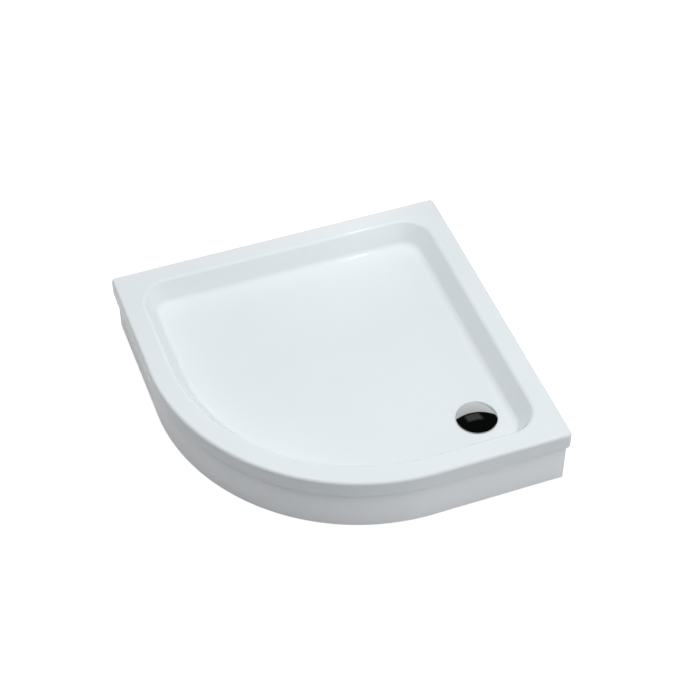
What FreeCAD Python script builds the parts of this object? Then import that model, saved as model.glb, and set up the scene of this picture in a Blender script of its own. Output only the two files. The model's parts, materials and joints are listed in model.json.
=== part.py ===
import FreeCAD
import Part
import math
import os

# Quadrant shower tray: acrylic shell on a backed board, screw legs, pull-off front panel, domed waste.
# Millimetres. The floor of the room is z = 0, the walls stand at the +X and +Y sides,
# and the round front faces -X and -Y.

# Tray, in plan
TRAY_SIDE = 900.0
FRONT_RADIUS = 550.0
OUTER_CORNER_RADIUS = 12.0

# Tray, in section
TRAY_HEIGHT = 174.0
LIP_HEIGHT = 46.0
RIM_WIDTH = 55.0
SHELL_WALL = 5.0
RIM_EDGE_RADIUS = 8.0
LIP_EDGE_RADIUS = 1.5

# Basin
BASIN_DEPTH = 60.0
BASIN_CORNER_RADIUS = 75.0
BASIN_EDGE_RADIUS = 12.0
WALL_LEAN = 32.0
FLOOR_FALL = 0.01
FLOOR_FILLET_RADIUS = 22.0

# Outlet in the basin floor
OUTLET_INSET = 175.0
OUTLET_HOLE_RADIUS = 45.0
SEAT_WIDTH = 6.0
SEAT_DEPTH = 5.0
SEAT_EDGE_RADIUS = 2.0

# Resin backing and board under the basin
BACKING_THICKNESS = 3.0
BOARD_THICKNESS = 12.0
BOARD_CORNER_RADIUS = 20.0
BOARD_MARGIN = 2.0
NOTCH_CLEARANCE = 23.0
BACKING_HOLE_CLEARANCE = 3.0

# Screw legs
STEM_RADIUS = 6.0
STEM_PITCH_CLEARANCE = 0.08
STEM_HOLE_CLEARANCE = 2.0
STEM_HEX = 17.0
STEM_HEX_HEIGHT = 6.0
FOOT_RADIUS = 24.0
FOOT_HEIGHT = 12.0
FOOT_SOCKET_DEPTH = 8.0
FOOT_NECK_RADIUS = 13.0
FOOT_BEVEL = 2.0
FOOT_RIM_HEIGHT = 4.0
HEX_GAP = 0.5
LEG_FLANGE_RADIUS = 35.0
LEG_FLANGE_THICKNESS = 4.0
LEG_BOSS_RADIUS = 13.0
LEG_BOSS_LENGTH = 26.0
LEG_RIB_THICKNESS = 4.0
LEG_RIB_LENGTH = 16.0
LEG_OUTLET_SPACING = 200.0
LEG_ARM_GAP = 5.0
NUT_HEX = 19.0
NUT_HEIGHT = 10.0

# Wood screws in the board
SCREW_RADIUS = 2.0
SCREW_HEAD_RADIUS = 4.2
SCREW_HEAD_HEIGHT = 2.6
SCREW_LENGTH = 9.0
SCREW_CLEARANCE = 0.05
SCREWS_PER_LEG = 4
LEG_SCREW_CIRCLE = 26.0

# Front panel
PANEL_INSET = 12.0
PANEL_WALL = 4.0
PANEL_END_GAP = 8.0
PANEL_TOP_GAP = 2.0
PANEL_FLOOR_GAP = 3.0
PANEL_TOP_FLANGE = 24.0
PANEL_BOTTOM_FLANGE = 16.0
PANEL_EDGE_RADIUS = 1.5

# Panel brackets, magnets and strike plates
BRACKET_ANGLES = (-38.0, -13.0, 13.0, 38.0)
BRACKET_NAMES = ("left", "front_left", "front_right", "right")
BRACKET_WIDTH = 30.0
BRACKET_STEEL = 3.0
BRACKET_GRIP = 32.0
BRACKET_SCREW_INSET = 9.0
BRACKET_SCREW_SPACING = 14.0
PANEL_REST_GAP = 0.2
MAGNET_SIZE = 20.0
MAGNET_THICKNESS = 4.5
MAGNET_GAP = 0.3
STRIKE_WIDTH = 28.0
STRIKE_HEIGHT = 24.0
STRIKE_THICKNESS = 1.5
STRIKE_GLUE_LINE = 0.1

# Waste flange and gaskets
UPPER_GASKET_THICKNESS = 2.0
LOWER_GASKET_THICKNESS = 3.0
GASKET_CLEARANCE = 1.0
FLANGE_CLEARANCE = 1.5
FLANGE_THICKNESS = 2.5
NECK_CLEARANCE = 1.5
NECK_WALL = 3.5
NECK_THREAD_LENGTH = 16.0
THREAD_CLEARANCE = 0.05
LEDGE_WIDTH = 4.0
LEDGE_THICKNESS = 3.0
LEDGE_DROP = 14.5

# Trap
TRAP_FLOOR_GAP = 12.0
TRAP_SHOULDER = 8.5
TRAP_WALL = 3.0
TRAP_TOP_WIDTH = 5.0
TRAP_TOP_THICKNESS = 6.0
TRAP_BOTTOM_BEVEL = 4.0

# Lift-out insert
INSERT_CLEARANCE = 3.0
INSERT_WALL = 2.0
INSERT_FLOOR_GAP = 7.0
COLLAR_THICKNESS = 5.0
COLLAR_CLEARANCE = 0.4
SEAL_RADIUS = 1.3
SEAL_CLEARANCE = 0.08
SEAL_GROOVE_CLEARANCE = 0.05
GRIP_TAB_WIDTH = 10.0
GRIP_TAB_REACH = 7.0
GRIP_TAB_THICKNESS = 2.5

# Domed cover
COVER_OVERHANG = 1.0
COVER_RISE = 9.0
COVER_WALL = 1.5
COVER_SKIRT = 1.5
COVER_EDGE_RADIUS = 1.2
COVER_WATER_GAP = 2.5
CARRIER_CLEARANCE = 1.0
CARRIER_WALL = 4.0
LEG_TONGUES = 3
TONGUE_WIDTH = 9.0
TONGUE_DROP = 10.0
TONGUE_CLEARANCE = 0.5
SHOULDER_REACH = 6.0

# Outlet of the trap, along +X
PIPE_RADIUS = 20.0
PIPE_WALL = 2.0
PIPE_LENGTH = 84.0
PIPE_STOP_RADIUS = 22.0
PIPE_STOP_WIDTH = 2.5
PORT_RADIUS = 23.0
PORT_LENGTH = 24.0
PORT_SOCKET_DEPTH = 8.0
PORT_SOCKET_CLEARANCE = 0.1
PORT_DROP = 5.0
OUTLET_SEAL_LENGTH = 4.0
OUTLET_SEAL_WALL = 2.6
OUTLET_NUT_WALL = 5.0
OUTLET_NUT_GRIP = 13.0
OUTLET_NUT_LIP = 5.0
OUTLET_NUT_RIBS = 10
OUTLET_NUT_RIB = 3.0
OUTLET_NUT_RIB_WIDTH = 6.0

# Worked out: tray
HALF_SIDE = TRAY_SIDE / 2
FRONT_CENTRE = FRONT_RADIUS - HALF_SIDE
FLOOR_Z = TRAY_HEIGHT - BASIN_DEPTH
LIP_Z = TRAY_HEIGHT - LIP_HEIGHT
LEAN = math.radians(WALL_LEAN)
OUTLET_X = HALF_SIDE - OUTLET_INSET
OUTLET_Y = -OUTLET_X
SEAT_RADIUS = OUTLET_HOLE_RADIUS + SEAT_WIDTH
SEAT_Z = FLOOR_Z - SEAT_DEPTH
SEAT_UNDERSIDE_Z = SEAT_Z - SHELL_WALL

# Worked out: board. It reaches to where the underside starts to curve up into the walls.
WALL_FOOT_INSET = RIM_WIDTH - SHELL_WALL / math.cos(LEAN) + (BASIN_DEPTH + SHELL_WALL) * math.tan(LEAN)
FILLET_REACH = (FLOOR_FILLET_RADIUS + SHELL_WALL) * math.tan(math.radians(90 - WALL_LEAN) / 2)
BOARD_INSET = WALL_FOOT_INSET + FILLET_REACH + BOARD_MARGIN
BACKING_Z = FLOOR_Z - SHELL_WALL - BACKING_THICKNESS
BOARD_Z = BACKING_Z - BOARD_THICKNESS
BOARD_EDGE = HALF_SIDE - BOARD_INSET

# Worked out: legs
LEG_INSET = BOARD_INSET + BRACKET_GRIP + LEG_ARM_GAP + LEG_FLANGE_RADIUS
LEG_EDGE = HALF_SIDE - LEG_INSET
LEG_FRONT = FRONT_CENTRE - (FRONT_RADIUS - LEG_INSET) * math.sqrt(0.5)
LEG_BOSS_Z = BOARD_Z - LEG_BOSS_LENGTH
STEM_FOOT_Z = FOOT_HEIGHT - FOOT_SOCKET_DEPTH
LEG_PLACES = {
    "back_left": (-LEG_EDGE, LEG_EDGE),
    "back_right": (LEG_EDGE, LEG_EDGE),
    "right": (LEG_EDGE, OUTLET_Y + LEG_OUTLET_SPACING),
    "front": (OUTLET_X - LEG_OUTLET_SPACING, -LEG_EDGE),
    "front_left": (LEG_FRONT, LEG_FRONT),
}

# Worked out: front panel
PANEL_TOP_Z = LIP_Z - PANEL_TOP_GAP
PANEL_INNER_INSET = PANEL_INSET + PANEL_WALL
TAB_TOP_Z = PANEL_TOP_Z - PANEL_WALL - PANEL_REST_GAP
STRIKE_INSET = PANEL_INNER_INSET + STRIKE_GLUE_LINE
MAGNET_INSET = STRIKE_INSET + STRIKE_THICKNESS + MAGNET_GAP
TAB_INSET = MAGNET_INSET + MAGNET_THICKNESS
MAGNET_Z = (BOARD_Z + TAB_TOP_Z) / 2

# Worked out: waste, from the outlet hole
FLANGE_RADIUS = SEAT_RADIUS - FLANGE_CLEARANCE
FLANGE_Z = SEAT_Z + UPPER_GASKET_THICKNESS
FLANGE_TOP_Z = FLANGE_Z + FLANGE_THICKNESS
TRAP_TOP_Z = SEAT_UNDERSIDE_Z - LOWER_GASKET_THICKNESS
NECK_Z = TRAP_TOP_Z - NECK_THREAD_LENGTH
NECK_RADIUS = OUTLET_HOLE_RADIUS - NECK_CLEARANCE
NECK_BORE = NECK_RADIUS - NECK_WALL
LEDGE_BORE = NECK_BORE - LEDGE_WIDTH
TRAP_RADIUS = NECK_RADIUS + TRAP_SHOULDER
TRAP_TOP_RADIUS = TRAP_RADIUS + TRAP_TOP_WIDTH
NOTCH_REACH = TRAP_TOP_RADIUS + NOTCH_CLEARANCE
LEDGE_Z = FLANGE_TOP_Z - LEDGE_DROP
COLLAR_TOP_Z = LEDGE_Z + COLLAR_THICKNESS
INSERT_Z = TRAP_FLOOR_GAP + TRAP_WALL + INSERT_FLOOR_GAP
INSERT_TUBE_RADIUS = LEDGE_BORE - INSERT_CLEARANCE
INSERT_BORE = INSERT_TUBE_RADIUS - INSERT_WALL
CARRIER_RADIUS = INSERT_BORE - CARRIER_CLEARANCE
COVER_RADIUS = SEAT_RADIUS + COVER_OVERHANG
COVER_Z = FLANGE_TOP_Z + COVER_WATER_GAP
COVER_SPRING_Z = COVER_Z + COVER_SKIRT
COVER_SPHERE = (COVER_RADIUS ** 2 + COVER_RISE ** 2) / (2 * COVER_RISE)
COVER_SPHERE_Z = COVER_SPRING_Z + COVER_RISE - COVER_SPHERE
PIPE_BORE = PIPE_RADIUS - PIPE_WALL
PIPE_Z = NECK_Z - PORT_DROP - PIPE_BORE
PORT_END = TRAP_RADIUS + PORT_LENGTH
PIPE_START = PORT_END - PORT_SOCKET_DEPTH

UP = FreeCAD.Vector(0, 0, 1)
# Bearing of the middle of the round front from the centre of its arc
FRONT_BEARING = 225
# How far a cut runs past the face it opens, and how near two heights count as one
OVERCUT = 1.0
NEAR = 0.01


def polar(radius, degrees, z=0.0):
    """Point at a radius and a bearing from +X about the vertical."""
    angle = math.radians(degrees)
    return FreeCAD.Vector(radius * math.cos(angle), radius * math.sin(angle), z)


def quadrant(inset, small_radius, z):
    """Plan outline at height z, moved in from the tray's edge: a square with one large round corner."""
    edge = HALF_SIDE - inset
    arcs = []
    for turn, radius in enumerate((FRONT_RADIUS - inset, small_radius, small_radius, small_radius)):
        start = 180 + 90 * turn
        middle = polar(math.sqrt(2) * (edge - radius), start + 45, z)
        arcs.append([middle + polar(radius, start + step) for step in (0, 45, 90)])
    edges = []
    for index, points in enumerate(arcs):
        edges.append(Part.LineSegment(arcs[index - 1][2], points[0]).toShape())
        edges.append(Part.Arc(*points).toShape())
    return Part.Wire(Part.__sortEdges__(edges))


def slab(inset, small_radius, bottom, top):
    """Flat piece with the tray's plan outline, between two heights."""
    return Part.Face(quadrant(inset, small_radius, bottom)).extrude(UP * (top - bottom))


def turned(profile, x=0.0, y=0.0):
    """Solid turned about a vertical axis from a closed profile of (radius, height) points."""
    points = [FreeCAD.Vector(radius, 0, z) for radius, z in profile]
    face = Part.Face(Part.makePolygon(points + points[:1]))
    solid = face.revolve(FreeCAD.Vector(0, 0, 0), UP, 360)
    solid.translate(FreeCAD.Vector(x, y, 0))
    return solid


def ring(inner, outer, bottom, top, x=0.0, y=0.0):
    """Flat ring between two heights."""
    return turned([(inner, bottom), (outer, bottom), (outer, top), (inner, top)], x, y)


def rod(radius, bottom, top, x=0.0, y=0.0):
    """Upright cylinder between two heights."""
    return Part.makeCylinder(radius, top - bottom, FreeCAD.Vector(x, y, bottom))


def along_x(radius, start, end, z):
    """Cylinder along +X from the outlet's axis, between two distances."""
    return Part.makeCylinder(radius, end - start, FreeCAD.Vector(start, 0, z), FreeCAD.Vector(1, 0, 0))


def block(x0, x1, y0, y1, z0, z1):
    """Box between two corners."""
    return Part.makeBox(x1 - x0, y1 - y0, z1 - z0, FreeCAD.Vector(x0, y0, z0))


def hexagon(across_flats, bottom, top, x=0.0, y=0.0):
    """Upright hexagonal bar between two heights."""
    corners = [polar(across_flats / math.sqrt(3), 60 * k, bottom) for k in range(7)]
    bar = Part.Face(Part.makePolygon(corners)).extrude(UP * (top - bottom))
    bar.translate(FreeCAD.Vector(x, y, 0))
    return bar


def placed(shape, x, y, degrees=0.0):
    """Copy of a shape, turned about the vertical and moved in plan."""
    copy = shape.copy()
    copy.rotate(FreeCAD.Vector(0, 0, 0), UP, degrees)
    copy.translate(FreeCAD.Vector(x, y, 0))
    return copy


def inset_of(point):
    """Distance of a point inside the tray's plan outline."""
    from_centre = point - FreeCAD.Vector(FRONT_CENTRE, FRONT_CENTRE, point.z)
    if from_centre.x < 0 and from_centre.y < 0:
        return FRONT_RADIUS - from_centre.Length
    return HALF_SIDE - max(abs(point.x), abs(point.y))


def level_edges(shape, z):
    """Edges that lie all along at height z."""
    found = []
    for edge in shape.Edges:
        if abs(edge.BoundBox.ZMin - z) + abs(edge.BoundBox.ZMax - z) < NEAR:
            found.append(edge)
    return found


def outline_edges(shape, z, inset, spread):
    """Edges at height z that run along the outline, from a distance inside it to a spread further in."""
    found = []
    for edge in level_edges(shape, z):
        middle = edge.valueAt((edge.FirstParameter + edge.LastParameter) / 2)
        if inset - OVERCUT < inset_of(middle) < inset + spread + OVERCUT:
            found.append(edge)
    return found


def bowl(grow, top):
    """Basin's hollow, grown by a wall thickness: leaning walls, and a floor that falls to the outlet."""
    deepest = FLOOR_Z - grow
    wires = []
    for z in (top, deepest - BOARD_MARGIN):
        inset = RIM_WIDTH - grow / math.cos(LEAN) + (TRAY_HEIGHT - z) * math.tan(LEAN)
        wires.append(quadrant(inset, BASIN_CORNER_RADIUS + RIM_WIDTH - inset, z))
    walls = Part.makeLoft(wires, True, True)
    reach = 2 * TRAY_SIDE
    ceiling = deepest + reach * FLOOR_FALL + BASIN_DEPTH
    falls = [(0, deepest), (reach, deepest + reach * FLOOR_FALL), (reach, ceiling), (0, ceiling)]
    hollow = walls.common(turned(falls, OUTLET_X, OUTLET_Y))
    floor_edges = []
    for edge in hollow.Edges:
        # The floor meets the walls below mid depth; the seam of the floor's cone has one face only.
        low = edge.BoundBox.ZMax < TRAY_HEIGHT - BASIN_DEPTH / 2
        if low and len(hollow.ancestorsOfType(edge, Part.Face)) == 2:
            floor_edges.append(edge)
    return hollow.makeFillet(FLOOR_FILLET_RADIUS + grow, floor_edges)


def tray_shell():
    """Acrylic tray: rim with turned-down lip, basin, and the seat round the outlet hole."""
    rim = slab(0, OUTER_CORNER_RADIUS, LIP_Z, TRAY_HEIGHT)
    rim = rim.makeFillet(RIM_EDGE_RADIUS, level_edges(rim, TRAY_HEIGHT))
    rim = rim.makeFillet(LIP_EDGE_RADIUS, level_edges(rim, LIP_Z))
    under_rim = TRAY_HEIGHT - SHELL_WALL
    shell = rim.cut(slab(SHELL_WALL, OUTER_CORNER_RADIUS - SHELL_WALL, LIP_Z, under_rim))
    shell = shell.fuse(bowl(SHELL_WALL, under_rim + SHELL_WALL / 2))
    seat_boss = rod(SEAT_RADIUS + SHELL_WALL, SEAT_UNDERSIDE_Z, FLOOR_Z, OUTLET_X, OUTLET_Y)
    shell = shell.fuse(seat_boss).removeSplitter()
    shell = shell.cut(bowl(0, TRAY_HEIGHT + SHELL_WALL))
    rim_edge = outline_edges(shell, TRAY_HEIGHT, RIM_WIDTH, BASIN_CORNER_RADIUS)
    shell = shell.makeFillet(BASIN_EDGE_RADIUS, rim_edge)
    shell = shell.cut(rod(SEAT_RADIUS, SEAT_Z, FLOOR_Z + SEAT_DEPTH, OUTLET_X, OUTLET_Y))
    shell = shell.cut(rod(OUTLET_HOLE_RADIUS, SEAT_UNDERSIDE_Z - OVERCUT, FLOOR_Z, OUTLET_X, OUTLET_Y))
    seat_edge = level_edges(shell, FLOOR_Z + SEAT_RADIUS * FLOOR_FALL)
    return shell.makeFillet(SEAT_EDGE_RADIUS, seat_edge)


def resin_backing():
    """Resin that fills the wedge between the falling underside and the flat board."""
    far_corner = math.hypot(OUTLET_X + BOARD_EDGE, OUTLET_Y - BOARD_EDGE)
    top = FLOOR_Z - SHELL_WALL + FLOOR_FALL * far_corner
    filling = slab(BOARD_INSET, BOARD_CORNER_RADIUS, BACKING_Z, top)
    filling = filling.cut(bowl(SHELL_WALL, TRAY_HEIGHT))
    hole = SEAT_RADIUS + SHELL_WALL + BACKING_HOLE_CLEARANCE
    return filling.cut(rod(hole, BACKING_Z - OVERCUT, top, OUTLET_X, OUTLET_Y))


def leg_screw_places():
    """Plan positions of the screws that hold the leg sockets to the board."""
    places = []
    for x, y in LEG_PLACES.values():
        for k in range(SCREWS_PER_LEG):
            offset = polar(LEG_SCREW_CIRCLE, 360 * (k + 0.5) / SCREWS_PER_LEG)
            places.append((x + offset.x, y + offset.y))
    return places


def bracket_screw_offsets():
    """Positions of a bracket's two screws, in the bracket's own frame with +X outwards."""
    x = -(BOARD_INSET + BRACKET_GRIP - BRACKET_SCREW_INSET)
    return [(x, side * BRACKET_SCREW_SPACING / 2) for side in (-1, 1)]


def bracket_frame(angle):
    """Point on the tray's edge, and outward bearing, of the bracket at an angle from the diagonal."""
    bearing = FRONT_BEARING + angle
    edge = FreeCAD.Vector(FRONT_CENTRE, FRONT_CENTRE, 0) + polar(FRONT_RADIUS, bearing)
    return edge.x, edge.y, bearing


def bracket_screw_places():
    """Plan positions of the screws that hold the panel brackets to the board."""
    places = []
    for angle in BRACKET_ANGLES:
        x, y, bearing = bracket_frame(angle)
        for along, across in bracket_screw_offsets():
            spot = FreeCAD.Vector(x, y, 0) + polar(along, bearing) + polar(across, bearing + 90)
            places.append((spot.x, spot.y))
    return places


def base_board():
    """Board under the basin, notched at the outlet's corner, bored for the legs and the screws."""
    board = slab(BOARD_INSET, BOARD_CORNER_RADIUS, BOARD_Z, BACKING_Z)
    board = board.cut(block(OUTLET_X - NOTCH_REACH, HALF_SIDE, -HALF_SIDE, OUTLET_Y + NOTCH_REACH,
                            BOARD_Z - OVERCUT, BACKING_Z + OVERCUT))
    for x, y in LEG_PLACES.values():
        hole = rod(STEM_RADIUS + STEM_HOLE_CLEARANCE, BOARD_Z - OVERCUT, BACKING_Z + OVERCUT, x, y)
        board = board.cut(hole)
    pilots = [(spot, LEG_FLANGE_THICKNESS) for spot in leg_screw_places()]
    pilots += [(spot, BRACKET_STEEL) for spot in bracket_screw_places()]
    for (x, y), clamped in pilots:
        pilot_top = BOARD_Z + SCREW_LENGTH - clamped + SCREW_CLEARANCE
        board = board.cut(rod(SCREW_RADIUS + SCREW_CLEARANCE, BOARD_Z - OVERCUT, pilot_top, x, y))
    return board


def screw(seat_z):
    """Round-head wood screw, pointing up, with its head under the height seat_z."""
    head = rod(SCREW_HEAD_RADIUS, seat_z - SCREW_HEAD_HEIGHT, seat_z)
    head = head.makeFillet(SCREW_HEAD_HEIGHT / 2, level_edges(head, seat_z - SCREW_HEAD_HEIGHT))
    return head.fuse(rod(SCREW_RADIUS, seat_z, seat_z + SCREW_LENGTH)).removeSplitter()


def screws(places, seat_z):
    """Group of screws under one height."""
    pattern = screw(seat_z)
    return Part.makeCompound([placed(pattern, x, y) for x, y in places])


def leg_socket():
    """Threaded socket of one leg: a flange under the board, a boss and ribs, about the leg's axis."""
    flange_z = BOARD_Z - LEG_FLANGE_THICKNESS
    socket = rod(LEG_FLANGE_RADIUS, flange_z, BOARD_Z).fuse(rod(LEG_BOSS_RADIUS, LEG_BOSS_Z, BOARD_Z))
    drop = (LEG_BOSS_LENGTH - LEG_FLANGE_THICKNESS) / 2
    for k in range(SCREWS_PER_LEG):
        corners = [(0, flange_z), (LEG_BOSS_RADIUS + LEG_RIB_LENGTH, flange_z),
                   (LEG_BOSS_RADIUS, flange_z - drop), (0, flange_z - drop)]
        points = [FreeCAD.Vector(x, -LEG_RIB_THICKNESS / 2, z) for x, z in corners]
        side = Part.Face(Part.makePolygon(points + points[:1]))
        rib = side.extrude(FreeCAD.Vector(0, LEG_RIB_THICKNESS, 0))
        socket = socket.fuse(placed(rib, 0, 0, 360 * k / SCREWS_PER_LEG))
    socket = socket.removeSplitter()
    socket = socket.cut(rod(STEM_RADIUS + STEM_PITCH_CLEARANCE, LEG_BOSS_Z - OVERCUT, BOARD_Z + OVERCUT))
    for k in range(SCREWS_PER_LEG):
        spot = polar(LEG_SCREW_CIRCLE, 360 * (k + 0.5) / SCREWS_PER_LEG)
        hole = rod(SCREW_RADIUS + SCREW_CLEARANCE, flange_z - OVERCUT, BOARD_Z + OVERCUT, spot.x, spot.y)
        socket = socket.cut(hole)
    return socket


def lock_nut():
    """Hexagon nut that locks a stem against its socket."""
    nut_z = LEG_BOSS_Z - NUT_HEIGHT
    nut = hexagon(NUT_HEX, nut_z, LEG_BOSS_Z)
    return nut.cut(rod(STEM_RADIUS + STEM_PITCH_CLEARANCE, nut_z - OVERCUT, LEG_BOSS_Z + OVERCUT))


def leg_stem():
    """Threaded stem of one leg, with a hexagon for the spanner above the foot."""
    stem = rod(STEM_RADIUS, STEM_FOOT_Z, BOARD_Z)
    hex_z = FOOT_HEIGHT + HEX_GAP
    return stem.fuse(hexagon(STEM_HEX, hex_z, hex_z + STEM_HEX_HEIGHT)).removeSplitter()


def foot_pad():
    """Round plastic foot with a blind socket that the stem turns in."""
    rim_top = FOOT_BEVEL + FOOT_RIM_HEIGHT
    foot = turned([(0, 0), (FOOT_RADIUS - FOOT_BEVEL, 0), (FOOT_RADIUS, FOOT_BEVEL), (FOOT_RADIUS, rim_top),
                   (FOOT_NECK_RADIUS, FOOT_HEIGHT), (0, FOOT_HEIGHT)])
    return foot.cut(rod(STEM_RADIUS + STEM_PITCH_CLEARANCE, STEM_FOOT_Z, FOOT_HEIGHT + OVERCUT))


def apron(outer, inner, bottom, top):
    """Band along the round front and its two straight returns, between two insets and two heights."""
    end = HALF_SIDE - PANEL_END_GAP
    centre = FreeCAD.Vector(FRONT_CENTRE, FRONT_CENTRE, bottom)
    paths = []
    for inset in (outer, inner):
        side = inset - HALF_SIDE
        middle = centre + polar(FRONT_RADIUS - inset, FRONT_BEARING)
        paths.append([FreeCAD.Vector(side, end, bottom), FreeCAD.Vector(side, FRONT_CENTRE, bottom), middle,
                      FreeCAD.Vector(FRONT_CENTRE, side, bottom), FreeCAD.Vector(end, side, bottom)])
    edges = []
    for points in paths:
        edges.append(Part.LineSegment(points[0], points[1]).toShape())
        edges.append(Part.Arc(points[1], points[2], points[3]).toShape())
        edges.append(Part.LineSegment(points[3], points[4]).toShape())
    for tip in (0, 4):
        edges.append(Part.LineSegment(paths[0][tip], paths[1][tip]).toShape())
    return Part.Face(Part.Wire(Part.__sortEdges__(edges))).extrude(UP * (top - bottom))


def front_panel():
    """Acrylic front panel with a flange turned in along its top and its bottom."""
    bottom = PANEL_FLOOR_GAP
    panel = apron(PANEL_INSET, PANEL_INNER_INSET, bottom, PANEL_TOP_Z)
    flange = apron(PANEL_INSET, PANEL_INSET + PANEL_TOP_FLANGE, PANEL_TOP_Z - PANEL_WALL, PANEL_TOP_Z)
    sill = apron(PANEL_INSET, PANEL_INSET + PANEL_BOTTOM_FLANGE, bottom, bottom + PANEL_WALL)
    panel = panel.fuse(flange).fuse(sill).removeSplitter()
    outside = []
    for z in (PANEL_TOP_Z, bottom):
        outside += outline_edges(panel, z, PANEL_INSET, 0)
    return panel.makeFillet(PANEL_EDGE_RADIUS, outside)


def panel_bracket():
    """Steel angle, in its own frame with +X outwards: an arm under the board and a tab up to the panel."""
    half = BRACKET_WIDTH / 2
    inner_end = -(BOARD_INSET + BRACKET_GRIP)
    arm = block(inner_end, -TAB_INSET, -half, half, BOARD_Z - BRACKET_STEEL, BOARD_Z)
    tab = block(-TAB_INSET - BRACKET_STEEL, -TAB_INSET, -half, half, BOARD_Z - BRACKET_STEEL, TAB_TOP_Z)
    bracket = arm.fuse(tab).removeSplitter()
    for along, across in bracket_screw_offsets():
        low = BOARD_Z - BRACKET_STEEL - OVERCUT
        bracket = bracket.cut(rod(SCREW_RADIUS + SCREW_CLEARANCE, low, BOARD_Z + OVERCUT, along, across))
    return bracket


def panel_magnet():
    """Block magnet on the outside of a bracket's tab, in the bracket's frame."""
    half = MAGNET_SIZE / 2
    return block(-TAB_INSET, -MAGNET_INSET, -half, half, MAGNET_Z - half, MAGNET_Z + half)


def strike_plate():
    """Rolled steel plate on the inside of the panel, facing a magnet, in the bracket's frame."""
    outer = FRONT_RADIUS - STRIKE_INSET
    band = ring(outer - STRIKE_THICKNESS, outer, MAGNET_Z - STRIKE_HEIGHT / 2, MAGNET_Z + STRIKE_HEIGHT / 2,
                -FRONT_RADIUS)
    half = STRIKE_WIDTH / 2
    return band.common(block(-FRONT_RADIUS, 0, -half, half, 0, TRAY_HEIGHT))


def at_brackets(shape):
    """Group of one shape at every bracket's place."""
    return Part.makeCompound([placed(shape, *bracket_frame(angle)) for angle in BRACKET_ANGLES])


def waste_flange():
    """Flange in the seat with a threaded neck down into the trap and a ledge for the insert."""
    return turned([(NECK_BORE, FLANGE_TOP_Z), (FLANGE_RADIUS, FLANGE_TOP_Z), (FLANGE_RADIUS, FLANGE_Z),
                   (NECK_RADIUS, FLANGE_Z), (NECK_RADIUS, NECK_Z), (NECK_BORE, NECK_Z),
                   (NECK_BORE, LEDGE_Z - LEDGE_THICKNESS), (LEDGE_BORE, LEDGE_Z - LEDGE_THICKNESS),
                   (LEDGE_BORE, LEDGE_Z), (NECK_BORE, LEDGE_Z)], OUTLET_X, OUTLET_Y)


def upper_gasket():
    """Flat gasket between the flange and the seat."""
    inner = OUTLET_HOLE_RADIUS + GASKET_CLEARANCE
    return ring(inner, SEAT_RADIUS - GASKET_CLEARANCE, SEAT_Z, FLANGE_Z, OUTLET_X, OUTLET_Y)


def lower_gasket():
    """Thick gasket between the underside of the seat and the trap."""
    inner = OUTLET_HOLE_RADIUS + GASKET_CLEARANCE
    return ring(inner, TRAP_TOP_RADIUS - GASKET_CLEARANCE, TRAP_TOP_Z, SEAT_UNDERSIDE_Z, OUTLET_X, OUTLET_Y)


def trap_body():
    """Trap: a cup with a threaded top for the flange's neck and a side port for the outlet."""
    thread = NECK_RADIUS + THREAD_CLEARANCE
    bore = TRAP_RADIUS - TRAP_WALL
    floor = TRAP_FLOOR_GAP + TRAP_WALL
    top_under = TRAP_TOP_Z - TRAP_TOP_THICKNESS
    bevel = TRAP_BOTTOM_BEVEL
    cup = turned([(0, TRAP_FLOOR_GAP), (TRAP_RADIUS - bevel, TRAP_FLOOR_GAP),
                  (TRAP_RADIUS, TRAP_FLOOR_GAP + bevel), (TRAP_RADIUS, top_under),
                  (TRAP_TOP_RADIUS, top_under), (TRAP_TOP_RADIUS, TRAP_TOP_Z),
                  (thread, TRAP_TOP_Z), (thread, NECK_Z), (bore, NECK_Z), (bore, floor + bevel),
                  (bore - bevel, floor), (0, floor)])
    port = along_x(PORT_RADIUS, bore, PORT_END, PIPE_Z)
    cup = cup.fuse(port).removeSplitter()
    cup = cup.cut(along_x(PIPE_BORE, INSERT_TUBE_RADIUS, PORT_END + OVERCUT, PIPE_Z))
    cup = cup.cut(along_x(PIPE_RADIUS + PORT_SOCKET_CLEARANCE, PIPE_START, PORT_END + OVERCUT, PIPE_Z))
    return placed(cup, OUTLET_X, OUTLET_Y)


def trap_insert():
    """Lift-out tube that dips into the trap's water, with a grooved collar and a finger tab."""
    collar = NECK_BORE - COLLAR_CLEARANCE
    middle = LEDGE_Z + COLLAR_THICKNESS / 2
    groove = NECK_BORE - SEAL_CLEARANCE - 2 * SEAL_RADIUS - SEAL_GROOVE_CLEARANCE
    half_groove = SEAL_RADIUS + SEAL_GROOVE_CLEARANCE
    insert = turned([(INSERT_BORE, INSERT_Z), (INSERT_TUBE_RADIUS, INSERT_Z), (INSERT_TUBE_RADIUS, LEDGE_Z),
                     (collar, LEDGE_Z), (collar, middle - half_groove), (groove, middle - half_groove),
                     (groove, middle + half_groove), (collar, middle + half_groove), (collar, COLLAR_TOP_Z),
                     (INSERT_BORE, COLLAR_TOP_Z)])
    tab = block(INSERT_BORE - GRIP_TAB_REACH, INSERT_BORE + INSERT_WALL / 2, -GRIP_TAB_WIDTH / 2,
                GRIP_TAB_WIDTH / 2, COLLAR_TOP_Z - GRIP_TAB_THICKNESS, COLLAR_TOP_Z)
    insert = insert.fuse(tab).removeSplitter()
    return placed(insert, OUTLET_X, OUTLET_Y)


def insert_seal():
    """Rubber ring in the insert's groove, just clear of the flange's bore."""
    centre = NECK_BORE - SEAL_CLEARANCE - SEAL_RADIUS
    middle = FreeCAD.Vector(OUTLET_X, OUTLET_Y, LEDGE_Z + COLLAR_THICKNESS / 2)
    return Part.makeTorus(centre, SEAL_RADIUS, middle, UP)


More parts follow.
